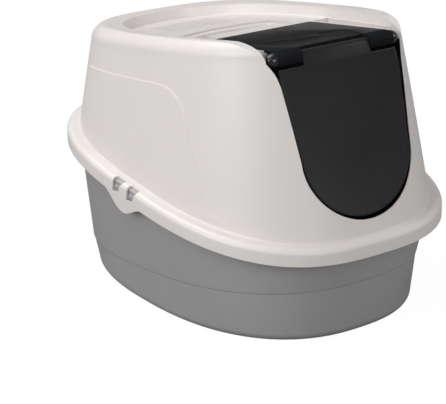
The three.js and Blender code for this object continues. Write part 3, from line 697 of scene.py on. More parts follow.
@dataclass(frozen=True)
class Plastic(Finish):
    """Moulded plastic: faint flow mottle, fine grain, faint scuffs, and a soft or high gloss."""

    roughness: float
    grain: float = 0.00001
    mottle: float = 0.03
    specular: float = 0.5
    grain_size: float = 0.0011
    flow_scale: float = 9.0
    flow_gloss: float = 0.08
    flow_relief: float = 0.6
    grain_gloss: float = 0.06
    scuff_scale: tuple[float, float, float] = (40.0, 40.0, 900.0)
    scuff_gloss: float = 0.03

    def inputs(self, place: Wire) -> dict[str, object]:
        """Return the surface shader's inputs at a place."""
        flow = noise(place, self.flow_scale, 3.0, 0.55)
        fine = noise(place, 1 / self.grain_size, 2.0, 0.6)
        drawn = node(place.tree, "ShaderNodeMapping", None, {"Vector": place, "Scale": self.scuff_scale})
        scuff = noise(drawn, 1.0, 4.0, 0.7).span(0.62, 0.75) * flow.span(0.5, 0.7)
        gloss = (flow - 0.5) * self.flow_gloss + (fine - 0.5) * self.grain_gloss + scuff * self.scuff_gloss
        darker, lighter = scaled(self.colour, 1 - self.mottle), scaled(self.colour, 1 + self.mottle)
        return {
            "Base Color": mixed(flow.span(0.3, 0.7), darker, lighter),
            "Roughness": gloss + self.roughness,
            "Normal": raised(fine + flow * self.flow_relief, self.grain, 1.0),
            "Specular IOR Level": self.specular,
        }


@dataclass(frozen=True)
class Felt(Finish):
    """Needled carbon felt: dark, matt, with crossing fibres."""

    roughness: float = 0.95
    specular: float = 0.15
    fibre_scale: float = 900.0
    fibre_light: float = 3.2
    clump_scale: float = 260.0
    clump_relief: float = 0.7
    relief: float = 0.0006
    strength: float = 0.8

    def inputs(self, place: Wire) -> dict[str, object]:
        """Return the surface shader's inputs at a place."""
        fibres = noise(place, self.fibre_scale, 5.0, 0.75)
        clumps = node(place.tree, "ShaderNodeTexVoronoi", None,
                      {"Vector": place, "Scale": self.clump_scale}, output="Distance")
        return {
            "Base Color": mixed(fibres.span(0.35, 0.7), self.colour, scaled(self.colour, self.fibre_light)),
            "Roughness": self.roughness,
            "Normal": raised(fibres + clumps * self.clump_relief, self.relief, self.strength),
            "Specular IOR Level": self.specular,
        }


HOOD_PLASTIC = Plastic("hood_plastic", linear(223, 218, 215), 0.38, grain=0.000012, mottle=0.012)
PAN_PLASTIC = Plastic("pan_plastic", linear(161, 159, 160), 0.42, grain=0.000014, mottle=0.02)
LID_PLASTIC = Plastic("lid_plastic", linear(31, 32, 34), 0.3, grain=0.000006, mottle=0.06, specular=0.008)
FLAP_PLASTIC = Plastic("flap_plastic", linear(41, 40, 42), 0.34, grain=0.000006, mottle=0.06, specular=0.16)
PIN_PLASTIC = Plastic("pin_plastic", linear(34, 35, 38), 0.22, grain=0.000005, mottle=0.05)
CARBON_FELT = Felt("carbon_felt", linear(24, 24, 25))


@cache
def material_of(finish: Finish) -> Material:
    """Return a finish's material, which is built once."""
    return finish.build()


def show(
    piece: Object, body: str, finish: Finish, nodes: Sequence[str], sharp: float = 32.0
) -> None:
    """Finish a piece: weld, shade, dress, and tie it to its body.

    Args:
        piece: the piece.
        body: the body that it rides on.
        finish: its finish.
        nodes: the CAD nodes that it stands for.
        sharp: angle in degrees above which an edge stays sharp.
    """
    mesh = piece.data
    work = bmesh.new()
    work.from_mesh(mesh)
    bmesh.ops.remove_doubles(work, verts=work.verts, dist=2e-6)
    bmesh.ops.dissolve_degenerate(work, edges=work.edges, dist=1e-6)
    work.to_mesh(mesh)
    work.free()
    mesh.materials.clear()
    mesh.materials.append(material_of(finish))
    mesh.polygons.foreach_set("material_index", [0] * len(mesh.polygons))
    mesh.shade_smooth()
    mesh.set_sharp_from_angle(angle=math.radians(sharp))
    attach(piece, body)
    if nodes:
        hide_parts(*nodes)
    LOG.info("%s: %d faces on %s, for %s", piece.name, len(mesh.polygons), body, ", ".join(nodes) or "itself")


def gate_mark(name: str, finish: Finish, body: str, place: Matrix, radius: float, proud: float) -> None:
    """Add the small round mark that the mould's gate leaves on a face.

    Args:
        name: the mark's name.
        finish: its finish.
        body: the body that it rides on.
        place: frame of the face, with its origin in the mark's middle.
        radius: the mark's radius.
        proud: how far it stands out.
    """
    sections = ((radius, -0.4), (radius, 0.1), (radius - 0.5, proud))
    rings = [at_height(arc((0, 0), reach, 0, 4 * QUARTER, 24)[:-1], height) for reach, height in sections]
    show(loft(name, rings, place), body, finish, [])


def dress_node(name: str, finish: Finish) -> None:
    """Give a CAD node its finish."""
    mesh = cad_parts[name].data
    mesh.materials.clear()
    mesh.materials.append(material_of(finish))
    LOG.info("%s: kept from the solids, dressed in %s", name, finish.name)


# Hood


class Lug(Enum):
    """The hood's mirrored pairs of blocks, each under its pieces' name.

    REST carries the folded handle and BOSS holds its pins. RAIL and HOOK carry the filter tray
    under the deck. RIB stands along the lid, and EAR holds the lid's stub pins.
    """

    REST = "rest"
    BOSS = "boss"
    RAIL = "rail"
    HOOK = "rail_hook"
    RIB = "seat_rib"
    EAR = "ear"


@dataclass
class Hood:
    """The removable hood: brim, walls, rounded shoulder, recessed deck, doorway and latch slots."""

    sizes: BoxSizes = SIZES
    ledge_side: float = 21.0
    ledge_end: float = 15.0
    fillet: float = 3.5
    shoulder: Outline = Outline(176.0, 254.0, 254.0, 22.0, 2.9)
    shoulder_radius: float = 25.0
    recess_half: float = 148.0
    recess_rear: float = 232.0
    recess_centre: float = 5.0
    recess_power: float = 2.5
    recess_wall: float = -5.0
    recess_fillet: float = 2.5
    recess_lead: float = 1.0
    rim_width: float = 100.0
    rim_fall: float = 4.5
    rim_over: float = 0.3
    horn_half: float = 127.0
    horn_at: float = 198.0
    horn_curve: tuple[Span, ...] = ((-108.0, 418.6), (-150.0, 424.5), (-192.0, 423.0), (-205.0, 395.0))
    horn_end: Span = (-215.0, 380.0)
    horn_across: Span = (113.0, 200.0)
    horn_above: float = 600.0
    gutter_depth: float = 12.0
    gutter_over: float = 0.5
    lip_outer: float = 108.0
    lip_inner: float = 98.5
    lip_drop: float = 2.4
    tab_centre: float = 6.0
    tab_half: float = 48.0
    tab_dip: float = 20.0
    tab_power: float = 0.8
    slot_top: float = 25.0
    slot_bottom: float = 13.5
    slot_low: float = 5.5
    slot_high: float = 25.0
    slot_deep: float = 10.5
    slot_pitch: float = 36.5
    slot_ahead: float = 6.5
    panel_rear: float = 190.0
    panel_low: float = 150.0
    panel_front: float = -235.0
    panel_top: tuple[Span, ...] = ((50.0, 336.5), (10.0, 341.0), (-25.0, 344.0))
    panel_turn: tuple[Span, ...] = ((-25.0, 344.0), (-50.0, 346.0), (-73.0, 341.0), (-87.0, 322.0))
    panel_slope: tuple[Span, ...] = ((-87.0, 322.0), (-114.0, 285.0), (-136.0, 215.0), (-172.0, 186.0))
    panel_steps: tuple[Span, ...] = ((0.6, 0.0), (1.2, 0.5), (1.6, 1.4))
    pocket_gap: float = 4.2
    pocket_depth: float = 14.0
    pocket_front: float = 8.0
    island_half: float = 64.0
    island_rear: float = 25.0
    island_corner: float = 8.0
    rest_across: Span = (41.0, 47.0)
    rest_along: Span = (56.0, 70.0)
    rest_top: float = -9.8
    rail_across: Span = (74.6, 76.6)
    rail_hook: float = 4.0
    rail_along: Span = (109.0, 189.0)
    rail_low: float = -7.6
    sunk: float = 1.5
    lug: float = 7.0
    barrel_room: float = 8.5
    rib_share: float = 0.3
    rib_proud: float = 0.2
    rib_sunk: float = 1.0
    vents: SlotRow = SlotRow(count=5, pitch=15.0, half=58.0, width=2.6, depth=60.0)
    vents_at: float = 120.0
    door_flare: tuple[Span, ...] = ((110.6, -42.0), (112.6, -23.0), (117.5, -13.0), (122.5, -3.0))
    door_above: float = 100.0
    door_reach: Span = (-18.0, 60.0)
    knuckle_gap: float = 1.2
    bore: float = 3.3
    lid_bore: float = 109.9
    handle_bore: float = 91.5
    far: float = 345.0

    @property
    def foot(self) -> Outline:
        """Outline of the wall where it meets the brim."""
        brim = self.sizes.brim.inset(self.ledge_end)
        return replace(brim, half=self.sizes.brim.half - self.ledge_side)

    def wall_ring(self, share: float, grow: float) -> Rows:
        """Return a ring of the wall, from the brim at 0 to the shoulder at 1."""
        size = self.sizes
        low = size.brim_top + self.fillet
        high = size.rim_level - self.shoulder_radius
        rise = size.brim_rise + (-size.fall - size.brim_rise) * share
        return self.foot.toward(self.shoulder, share).inset(-grow).ring(low + (high - low) * share, rise)

    def panel(self) -> Object:
        """Return the raised side panels of both sides, a body with a soft step all round."""
        outline = tidy(np.concatenate([
            [[self.panel_rear, self.panel_low], [self.panel_rear, self.panel_turn[-1][1]]],
            bezier(self.panel_top, 6),
            bezier(self.panel_turn, 14),
            bezier(self.panel_slope, 24),
            [[self.panel_front, self.panel_low]],
        ]))
        width = self.sizes.width
        layers = []
        for proud, back in self.panel_steps:
            grown = loft("panel", [self.wall_ring(share, proud) for share in np.linspace(0.02, 0.95, 58)])
            window = prism("panel_window", offset(outline, -back), -width, width, ACROSS)
            layers.append(combine(Carve.KEEP, grown, window))
        return join(*layers)

    def skin(self, name: str, shell: float) -> Object:
        """Return the hood as a full block.

        Args:
            name: the object's name.
            shell: how far inside the outer face it lies.

        Returns:
            A closed solid.
        """
        size = self.sizes
        rise, bead, fillet, shoulder = size.brim_rise, size.brim_bead, self.fillet, self.shoulder_radius

        def bend(outline: Outline, middle: Span, slope: float, radius: float, turns: Rows) -> list[Rows]:
            """Return the rings round a bend, given how far in and how high its middle lies."""
            inset, level = middle
            return [outline.inset(inset - radius * math.cos(t)).ring(level + radius * math.sin(t), slope)
                    for t in turns]

        low = size.brim_low - self.tab_dip - size.over / 2 - shell
        return loft(name, [
            size.brim.inset(shell).ring(low, rise),
            *bend(size.brim, (bead, size.brim_top - bead), rise, bead - shell, np.linspace(0, QUARTER, 8)),
            *bend(self.foot, (-fillet, size.brim_top + fillet), rise, -fillet - shell,
                  np.linspace(QUARTER, 0, 7)),
            *(self.wall_ring(share, -shell) for share in np.linspace(0, 1, 24)[1:]),
            *bend(self.shoulder, (shoulder, size.rim_level - shoulder), -size.fall, shoulder - shell,
                  np.linspace(0, QUARTER, 13)[1:]),
        ])

    def recess(self, grow: float) -> Rows:
        """Return the recess outline in the deck's plane, open far to the front."""
        reach = self.recess_rear + grow
        outline = Outline(self.recess_half + grow, reach, reach, self.recess_centre, self.recess_power)
        horn = self.horn_half + grow
        return np.concatenate([
            outline.points(np.linspace(0, math.pi, 121)),
            [[-horn, -self.horn_at], [-horn, -self.far], [horn, -self.far], [horn, -self.horn_at]],
        ])

    def recess_cutter(self, shell: float) -> Object:
        """Return the space over the deck: a soft foot, a steep wall and the rim's domed inner side.

        Args:
            shell: how much further out and down it reaches, for the hood's inner face.

        Returns:
            The body of that space.
        """
        size = self.sizes
        rim = size.deck_drop * math.cos(math.atan(size.fall))
        foot, wall = self.recess_fillet, self.recess_wall
        rings = [(wall - foot * (1 - math.sin(t)) - self.recess_lead, foot * (1 - math.cos(t)))
                 for t in np.linspace(0, QUARTER, 5)]
        rings += [(wall + self.rim_width * share, rim + self.rim_over - self.rim_fall * (1 - share) ** 2)
                  for share in np.linspace(0, 1, 16)]
        rings.append((wall + self.rim_width, rim + 2 * size.over))
        levels = [at_height(self.recess(grow + shell), height - shell) for grow, height in rings]
        return loft("recess", levels, size.deck)

    def gutter(self, inner: float, grow: float, front: float, low: float, high: float) -> list[Object]:
        """Return the strips of the recess beside the lid.

        Args:
            inner: half width between the strips.
            grow: how much further out and back they reach, for the hood's inner face.
            front: where they end in front.
            low: lower height.
            high: upper height.

        Returns:
            A solid for each side.
        """
        rear = self.sizes.deck_front + grow
        outer = self.horn_half + grow + self.recess_wall
        share = (self.recess_centre - rear) / (self.recess_centre + self.horn_at)
        side_half = self.recess_half + (self.horn_half - self.recess_half) * share
        points = np.array([
            [inner, rear],
            [inner, front],
            [outer, front],
            [outer, max(front, -self.horn_at)],
            [side_half + grow + self.recess_wall, rear],
        ])
        return [prism("gutter", points * (side.value, 1), low, high, self.sizes.deck) for side in Side]

    def pocket(self, grow: float) -> Object:
        """Return the handle's pocket, grown by an amount, with its island left standing."""
        size = self.sizes
        half = size.handle_half + self.pocket_gap + grow
        reach = size.handle_reach + self.pocket_gap + grow
        front = size.handle_y - self.pocket_front - grow
        turn = math.asin(half / reach)
        outline = np.concatenate([
            [[-half, front], [half, front]],
            arc((0, size.handle_crest - size.handle_reach), reach, QUARTER - turn, QUARTER + turn, 48),
        ])
        bowl = prism("pocket", outline, -self.pocket_depth - grow, size.over, size.deck)
        corner = self.island_corner
        x, y = self.island_half - grow - corner, self.island_rear - grow - corner
        spots = ((x, corner - size.over), (x, y), (-x, y), (-x, corner - size.over))
        island = np.concatenate([
            arc(spot, corner, (k - 1) * QUARTER, k * QUARTER, 8) for k, spot in enumerate(spots)
        ])
        return cut(bowl, prism("island", island, -size.over, size.over + 1, size.deck))

    def pair(self, kind: Lug) -> list[Object]:
        """Return a pair of the hood's blocks, the left one first, standing in the deck's frame."""
        size, (inner, outer), low = self.sizes, self.rail_across, self.rail_low
        boss, rib = size.handle_half + self.pocket_gap, size.lid_rear_half + 3 * size.gap
        ear, notch = size.lid_rear_half + 2 * size.gap, -size.lid_rear - self.barrel_room
        reach = {
            Lug.REST: (self.rest_across, self.rest_along, (-self.pocket_depth - self.sunk, self.rest_top)),
            Lug.RAIL: ((inner, outer), self.rail_along, (low, -self.sunk)),
            Lug.HOOK: ((inner - self.rail_hook, outer), self.rail_along, (low, low + outer - inner)),
            Lug.BOSS: ((boss, boss + self.lug), (size.handle_y - self.lug, size.handle_y + self.lug),
                       (-self.pocket_depth, -self.sunk)),
            Lug.RIB: ((rib, rib + size.wall), (-size.length * self.rib_share, notch),
                      (-self.lip_drop - self.rib_sunk, size.lid_proud + self.rib_proud)),
            Lug.EAR: ((ear, ear + self.lug), (notch, size.deck_front + size.wall),
                      (-self.gutter_depth - size.wall, 0.0)),
        }[kind]
        return pair(kind.value, *reach, size.deck)

    def doorway(self) -> Object:
        """Return the doorway's opening, flared at the top."""
        size = self.sizes
        right = np.concatenate([bezier(self.door_flare, 14), [[self.door_flare[-1][0], self.door_above]]])
        arch = arc((0, -size.door_centre), (size.door_half, size.door_drop), math.pi, 2 * math.pi, 96)
        return prism("doorway", np.concatenate([mirrored(right), arch, right]), *self.door_reach, size.door)

    def horn_trim(self, shell: float) -> list[Object]:
        """Return what is taken off the horns so that they fall to the doorway in a soft curve."""
        (front, low), above = self.horn_end, self.horn_above
        points = np.concatenate([
            bezier(self.horn_curve, 24),
            [[front, low], [-self.far, low], [-self.far, above], [self.horn_curve[0][0], above]],
        ]) + (shell, -shell)
        inner, outer = self.horn_across
        return [prism("horn_trim", points, *side.span(inner - shell, outer), ACROSS) for side in Side]

    def knuckle_room(self) -> Object:
        """Return the space for the lid's front knuckles, open upward."""
        size = self.sizes
        radius, dome = size.knuckle + self.knuckle_gap, size.pin_dome + self.knuckle_gap
        outer, at = size.knuckle_outer, size.hinge_y
        channel = np.concatenate([
            [[-outer, at - radius], [outer, at - radius]],
            arc((outer, at), (dome, radius), -QUARTER, QUARTER, 16),
            arc((-outer, at), (dome, radius), QUARTER, 3 * QUARTER, 16),
        ])
        turns = np.linspace(0, QUARTER, 9)
        right = np.array([(outer + dome * math.sin(t), radius * math.cos(t)) for t in turns])
        body = turned("knuckle_room", np.concatenate([mirrored(right), right]), size.hinge, 48)
        return join(body, prism("channel", channel, size.hinge_z, size.over, size.deck))

    def trimmer(self) -> Object:
        """Return what lies under the brim's lower edge, with the dipping latch tabs left out."""
        size = self.sizes
        share = np.linspace(-1, 1, 65)
        dip = self.tab_dip * (0.5 + 0.5 * np.cos(share * math.pi)) ** self.tab_power
        y = np.concatenate([[-self.far], self.tab_centre + share * self.tab_half, [self.far]])
        edge = size.brim_low + size.brim_rise * y
        edge[1:-1] -= dip
        points = np.concatenate([np.column_stack([y, edge]), [[self.far, 0], [-self.far, 0]]])
        return prism("trimmer", points, -size.width, size.width, ACROSS)

    def latch_slots(self) -> list[Object]:
        """Return the four latch slots."""
        size = self.sizes
        deep, over = size.width / 2 - self.slot_deep, size.width / 2 + size.over
        made = []
        for share in (0.5, -0.5):
            centre = self.tab_centre + share * self.slot_pitch - self.slot_ahead
            line = size.brim_low + size.brim_rise * centre
            front, rear = centre - self.slot_top / 2, centre + self.slot_top / 2
            low, high = line + self.slot_low, line + self.slot_high
            points = np.array([[rear - self.slot_bottom, low], [rear, low], [rear, high], [front, high]])
            for side in (Side.RIGHT, Side.LEFT):
                made.append(prism("latch_slot", points, *side.span(deep, over), ACROSS))
        return made

    def build(self) -> None:
        """Make the hood and show it."""
        size = self.sizes
        deck, wall, over, front = size.deck, size.wall, size.over, size.deck_front
        rails = [part for side in zip(self.pair(Lug.RAIL), self.pair(Lug.HOOK)) for part in side]
        hollow = cut(
            self.skin("hood_hollow", wall),
            self.recess_cutter(wall),
            *self.gutter(0.0, wall, -self.far, -self.gutter_depth - wall, 0.0),
            self.pocket(wall),
            *rails,
            *self.pair(Lug.BOSS),
            *self.pair(Lug.EAR),
            *self.horn_trim(wall),
        )
        body = join(self.skin("hood_shell", 0.0), self.panel())
        seat = block("seat", both(self.lip_outer), (-self.far, front), (-self.lip_drop, over), deck)
        cut(
            body,
            hollow,
            self.recess_cutter(0.0),
            *self.gutter(self.lip_outer, 0.0, size.hinge_y, -self.gutter_depth, self.gutter_over),
            cut(seat, *self.pair(Lug.EAR)),
            block("hatch", both(self.lip_inner), (-self.far, front), (-2 * over, over), deck),
            cut(self.pocket(0.0), *self.pair(Lug.REST)),
            self.vents.cutter("vents", self.vents_at, -self.vents.depth / 2, deck),
        )
        join(body, *self.pair(Lug.EAR), *self.pair(Lug.RIB))
        notch = (-size.lid_rear - self.barrel_room, front)
        cut(
            body,
            block("barrel_notch", both(size.lid_rear_half + 2 * size.gap), notch, (-2 * over, over), deck),
            self.knuckle_room(),
            bar("lid_bore", self.bore, both(self.lid_bore), size.lid_axis),
            bar("handle_bore", self.bore, both(self.handle_bore), size.handle_axis),
            self.doorway(),
            *self.horn_trim(0.0),
            self.trimmer(),
            *self.latch_slots(),
        )
        show(body, "hood", HOOD_PLASTIC, ["hood"])


# Pan


@dataclass
class Pan:
    """The grey tub and its latch hooks."""

    sizes: BoxSizes = SIZES
    low: Outline = Outline(199.5, 268.0, 268.0, -3.0, 2.42)
    foot: float = 14.0
    floor: float = 3.5
    top_inset: float = 17.0
    lip_gap: float = 1.5
    lip_thick: float = 3.0
    crease: float = 60.0
    crease_fall: float = 0.075
    crease_step: float = 1.3
    crease_height: float = 3.0

    def side(self, share: float, level: float, rise: float, grow: float) -> Rows:
        """Return a ring of the pan's side, from its foot at 0 to its top at 1."""
        top = self.sizes.brim.inset(self.top_inset)
        return self.low.toward(top, share).inset(-grow).ring(level, rise)

    def skin(self, shell: float, floor: float, top: float) -> list[Rows]:
        """Return the rings of one face of the tub, from its foot up to just under its top.

        Args:
            shell: how far inside the outer face it lies.
            floor: height of its lowest ring.
            top: height of the top edge over the origin.

        Returns:
            Rings from the bottom up.
        """
        rings = []
        radius = self.foot - shell
        for turn in np.linspace(0, QUARTER, 10):
            grow = -(self.foot - radius * math.sin(turn))
            rings.append(self.side(0.0, floor + radius * (1 - math.cos(turn)), 0.0, grow))
        for lift in np.linspace(0, 1, 7):
            soft = lift * lift * (3 - 2 * lift)
            level = self.crease + self.crease_height * (lift - 0.5)
            grow = -shell - self.crease_step * (1 - soft)
            rings.append(self.side(self.crease / top, level, -self.crease_fall, grow))
        return rings

    def build(self) -> None:
        """Make the pan and show it."""
        size = self.sizes
        rise = size.brim_rise
        top = size.brim_top - size.wall - size.gap
        low = top - self.lip_thick
        lip = size.brim.inset(size.wall + self.lip_gap)
        tub = loft("pan_tub", [
            *self.skin(0.0, 0.0, low),
            self.side(1.0, low, rise, 0.0),
            lip.ring(low, rise),
            lip.ring(low + self.lip_thick / 3, rise),
            size.brim.inset(size.brim_bead).ring(top, rise),
        ])
        room = [*self.skin(size.wall, self.floor, low), self.side(1.0, top + size.wall, rise, -size.wall)]
        cut(tub, loft("pan_room", room))
        show(tub, "pan", PAN_PLASTIC, ["litter_pan"])
        for side in Side:
            dress_node(f"latch_hooks_{side.name.lower()}", PAN_PLASTIC)


# Lid


@dataclass
class TopLid:
    """The black lid with its dished grip, rear barrel and front knuckles."""

    sizes: BoxSizes = SIZES
    thick: float = 3.0
    edges: Span = (0.4, 0.9)
    spacing: float = 6.0
    front_half: float = 101.5
    rib_half: float = 96.5
    rib_thick: float = 2.0
    rib_deep: float = 8.0
    rib_rear: float = 34.0
    pin_radius: float = 3.0
    pin_length: float = 6.0
    barrel_edge: float = 0.6
    knuckle_edge: float = 0.5
    dish_half: float = 72.0
    dish_rear: float = 121.0
    dish_curve: float = 27.0
    dish_deep: float = 1.2
    dish_corner: float = 16.0
    dish_steps: tuple[Span, ...] = (
        (-1.6, 0.0), (-0.9, 0.15), (0.0, 0.8), (0.6, 1.1), (1.4, 1.25), (1.4, 31.2))
    tongue_at: float = 141.0
    tongue_half: float = 12.0
    ring_proud: float = 1.0
    ring_width: float = 2.0
    bore_reach: float = 130.0
    gate_spot: Span = (4.0, -107.0)
    gate_radius: float = 1.7
    gate_proud: float = 0.35

    def dish_cutter(self) -> Object:
        """Return the space of the dished grip, with a sloping soft side."""
        half, rear, tongue = self.dish_half, -self.dish_rear, -self.tongue_at
        corner, flat = self.dish_corner, self.tongue_half
        start, middle = flat + self.dish_curve, flat + self.dish_curve / 2
        front, over = self.sizes.hinge_y, self.sizes.over
        right = np.concatenate([
            [[half - corner, front - over]],
            bezier([(half - corner, front), (half, tongue - corner), (half, rear - corner / 2)], 16),
            bezier([(half, rear - corner / 2), (half, rear), (half - corner, rear)], 8),
            bezier([(start, rear), (middle, rear), (middle, tongue), (flat, tongue)], 16),
        ])
        floor = self.sizes.lid_proud - self.dish_deep
        steps = [(out, floor + lift) for out, lift in self.dish_steps]
        return stepped("dish", np.concatenate([right, mirrored(right)]), steps, self.sizes.deck)

    def build(self) -> None:
        """Make the lid and show it."""
        size = self.sizes
        deck, top, half, inner = size.deck, size.lid_proud, size.lid_rear_half, size.knuckle_inner
        low = top - self.thick
        room = size.flap_barrel + size.flap_play
        front = size.hinge_y + room
        plan = np.array([
            [-self.front_half, size.hinge_y], [self.front_half, size.hinge_y],
            [half, -size.lid_rear], [-half, -size.lid_rear],
        ])
        rib_up = (low - self.rib_deep, low + self.thick / 2)
        rib = self.rib_half
        body = join(
            plate("lid_moulding", resample(plan, self.spacing), (low, top), self.edges, deck),
            bar("rear_barrel", size.lid_barrel, both(half), size.lid_axis, self.barrel_edge),
            *pair("rib", (rib - self.rib_thick, rib), (front, -self.rib_rear), rib_up, deck),
            block("front_rib", both(rib), (front, front + self.rib_thick), rib_up, deck),
        )
        cut(
            body,
            bar("barrel_room", room, both(inner), size.hinge),
            block("front_room", both(inner), (size.hinge_y - size.over, front), both(size.over), deck),
            self.dish_cutter(),
        )
        pins = both(half + self.pin_length)
        join(body, bar("lid_pins", self.pin_radius, pins, size.lid_axis, self.knuckle_edge, 32))
        for side in Side:
            ends = side.span(inner, size.knuckle_outer)
            knuckle = bar("knuckle", size.knuckle, ends, size.hinge, self.knuckle_edge, 96)
            ends = side.span(inner, inner + self.ring_width)
            radius = size.knuckle + self.ring_proud
            join(body, join(knuckle, bar("knuckle_ring", radius, ends, size.hinge, self.barrel_edge, 96)))
        cut(body, bar("pin_bore", size.pin_bore, both(self.bore_reach), size.hinge, steps=48))
        show(body, "lid", LID_PLASTIC, ["top_lid"], sharp=28.0)
        place = deck @ Matrix.Translation((*self.gate_spot, top))
        gate_mark("lid_gate_mark", LID_PLASTIC, "lid", place, self.gate_radius, self.gate_proud)


# Flap


@dataclass
class Flap:
    """The swing flap in the doorway, with its barrel and two push-in pins."""

    sizes: BoxSizes = SIZES
    thick: float = 3.0
    edge: float = 0.7
    spacing: float = 5.0
    side: float = 3.5
    bottom_gap: float = 5.0
    top_half: float = 105.0
    shoulder: float = 42.0
    door_top_half: float = 113.0
    door_top_at: float = 19.0
    notch_gap: float = 3.5
    neck_sunk: float = 3.0
    bead: float = 2.2
    bead_proud: float = 0.9
    bead_sunk: float = 1.0
    bead_edge: float = 0.8
    bead_steps: tuple[Span, ...] = ((-0.9, -0.01), (-0.35, 0.12), (0.0, 0.5), (0.2, 30.0))
    barrel_edge: float = 0.5
    bore_reach: float = 200.0
    pin_radius: float = 4.0
    pin_head: float = 10.6
    pin_reach: float = 18.0
    pin_lead: float = 0.3
    gate_spot: Span = (2.0, -105.0)
    gate_radius: float = 1.5
    gate_proud: float = 0.3

    @property
    def top(self) -> float:
        """Height of the panel's upper corners, under the knuckles."""
        return -self.sizes.knuckle - self.notch_gap

    def plan(self, shrink: float) -> Rows:
        """Return the panel's outline in the doorway's plane, drawn in by an amount."""
        size = self.sizes
        side = self.side + shrink
        drop = size.door_drop - self.bottom_gap - shrink
        down = (self.shoulder - self.door_top_at) / (size.door_centre - self.door_top_at)
        shoulder_half = self.door_top_half + (size.door_half - self.door_top_half) * down - side
        right = np.concatenate([
            arc((0, -size.door_centre), (size.door_half - side, drop), 3 * QUARTER, 4 * QUARTER, 48),
            [[shoulder_half, -self.shoulder], [self.top_half - shrink, self.top - shrink]],
        ])
        return np.concatenate([right, mirrored(right)[:-1]])

    def build(self) -> None:
        """Make the flap and its pins, and show them."""
        size = self.sizes
        door, front = size.door, size.flap_barrel
        rear = front - self.thick
        axis = Axis(0.0, 0.0, door)
        end = size.knuckle_inner - size.flap_play
        outline = resample(self.plan(0.0), self.spacing)
        bead_up = (front - self.bead_sunk, front + self.bead_proud)
        bead = plate("flap_bead", outline, bead_up, (self.bead_edge, self.bead_edge), door)
        steps = [(out, front + height) for out, height in self.bead_steps]
        body = join(
            plate("flap_moulding", outline, (rear, front), (self.edge, self.edge), door),
            cut(bead, stepped("bead_room", self.plan(self.bead), steps, door)),
            block("neck", both(end), (self.top - self.neck_sunk, 0), (rear, front), door),
            bar("flap_barrel", size.flap_barrel, both(end), axis, self.barrel_edge, 96),
        )
        for side in (Side.RIGHT, Side.LEFT):
            cut(body, bar("bore", size.pin_bore, side.span(end - self.pin_reach, self.bore_reach), axis))
        show(body, "flap", FLAP_PLASTIC, ["flap_door"], sharp=28.0)
        place = door @ Matrix.Translation((*self.gate_spot, front))
        gate_mark("flap_gate_mark", FLAP_PLASTIC, "flap", place, self.gate_radius, self.gate_proud)
        for side in Side:
            self.pin(side)

    def pin(self, side: Side) -> None:
        """Make one hinge pin with its domed head."""
        size = self.sizes
        end = size.knuckle_outer + size.gap
        tip = size.knuckle_inner - self.pin_reach
        turns = np.linspace(0, QUARTER, 17)[:-1]
        profile = [
            (tip, 0.0),
            (tip, self.pin_radius - self.pin_lead),
            (tip + self.pin_lead, self.pin_radius),
            (end, self.pin_radius),
            *((end + size.pin_dome * math.sin(t), self.pin_head * math.cos(t)) for t in turns),
            (end + size.pin_dome, 0.0),
        ]
        name = side.name.lower()
        made = turned(f"pin_{name}", np.array(profile) * (side.value, 1), size.hinge)
        show(made, "lid", PIN_PLASTIC, [f"flap_pin_{name}"])


# Handle and filter


@dataclass
class CarryHandle:
    """The bail that folds into the deck."""

    sizes: BoxSizes = SIZES
    arm: float = 13.0
    across: float = 14.0
    thick: float = 8.0
    edge: float = 2.6
    corner: float = 9.0
    spacing: float = 5.0
    pin_radius: float = 3.0
    pin_length: float = 5.0
    pin_edge: float = 0.5

    def plan(self) -> Rows:
        """Return the bail's outline in the deck's plane."""
        size = self.sizes
        half, reach, corner, nose = size.handle_half, size.handle_reach, self.corner, self.arm / 2
        centre = size.handle_crest - reach
        inner = reach - self.across
        outer_turn = math.asin((half - corner) / (reach - corner))
        inner_turn = math.asin((half - self.arm) / inner)
        start = (half - corner, centre + (reach - corner) * math.cos(outer_turn))
        right = np.concatenate([
            arc((half - nose, size.handle_y), nose, math.pi, 2 * math.pi, 16),
            arc(start, corner, 0, QUARTER - outer_turn, 12),
            arc((0, centre), reach, QUARTER - outer_turn, QUARTER, 24)[1:],
        ])
        inside = arc((0, centre), inner, QUARTER + inner_turn, QUARTER - inner_turn, 40)
        return np.concatenate([right, mirrored(right)[1:], inside])

    def build(self) -> None:
        """Make the handle and show it."""
        size = self.sizes
        middle, half = size.handle_z, self.thick / 2
        outline = resample(self.plan(), self.spacing)
        heights = (middle - half, middle + half)
        body = plate("handle_bail", outline, heights, (self.edge, self.edge), size.deck, 6)
        for side in Side:
            ends = side.span(size.handle_half - self.arm / 2, size.handle_half + self.pin_length)
            join(body, bar("handle_pin", self.pin_radius, ends, size.handle_axis, self.pin_edge, 32))
        show(body, "handle", HOOD_PLASTIC, ["carry_handle"], sharp=40.0)


@dataclass
class FilterTray:
    """The carbon pad and its slide-in tray under the vents."""

    dressed: tuple[tuple[str, Finish], ...] = (("filter_pad", CARBON_FELT), ("filter_tray", HOOD_PLASTIC))

    def build(self) -> None:
        """Dress the filter's two solids."""
        for name, finish in self.dressed:
            dress_node(name, finish)


# Studio


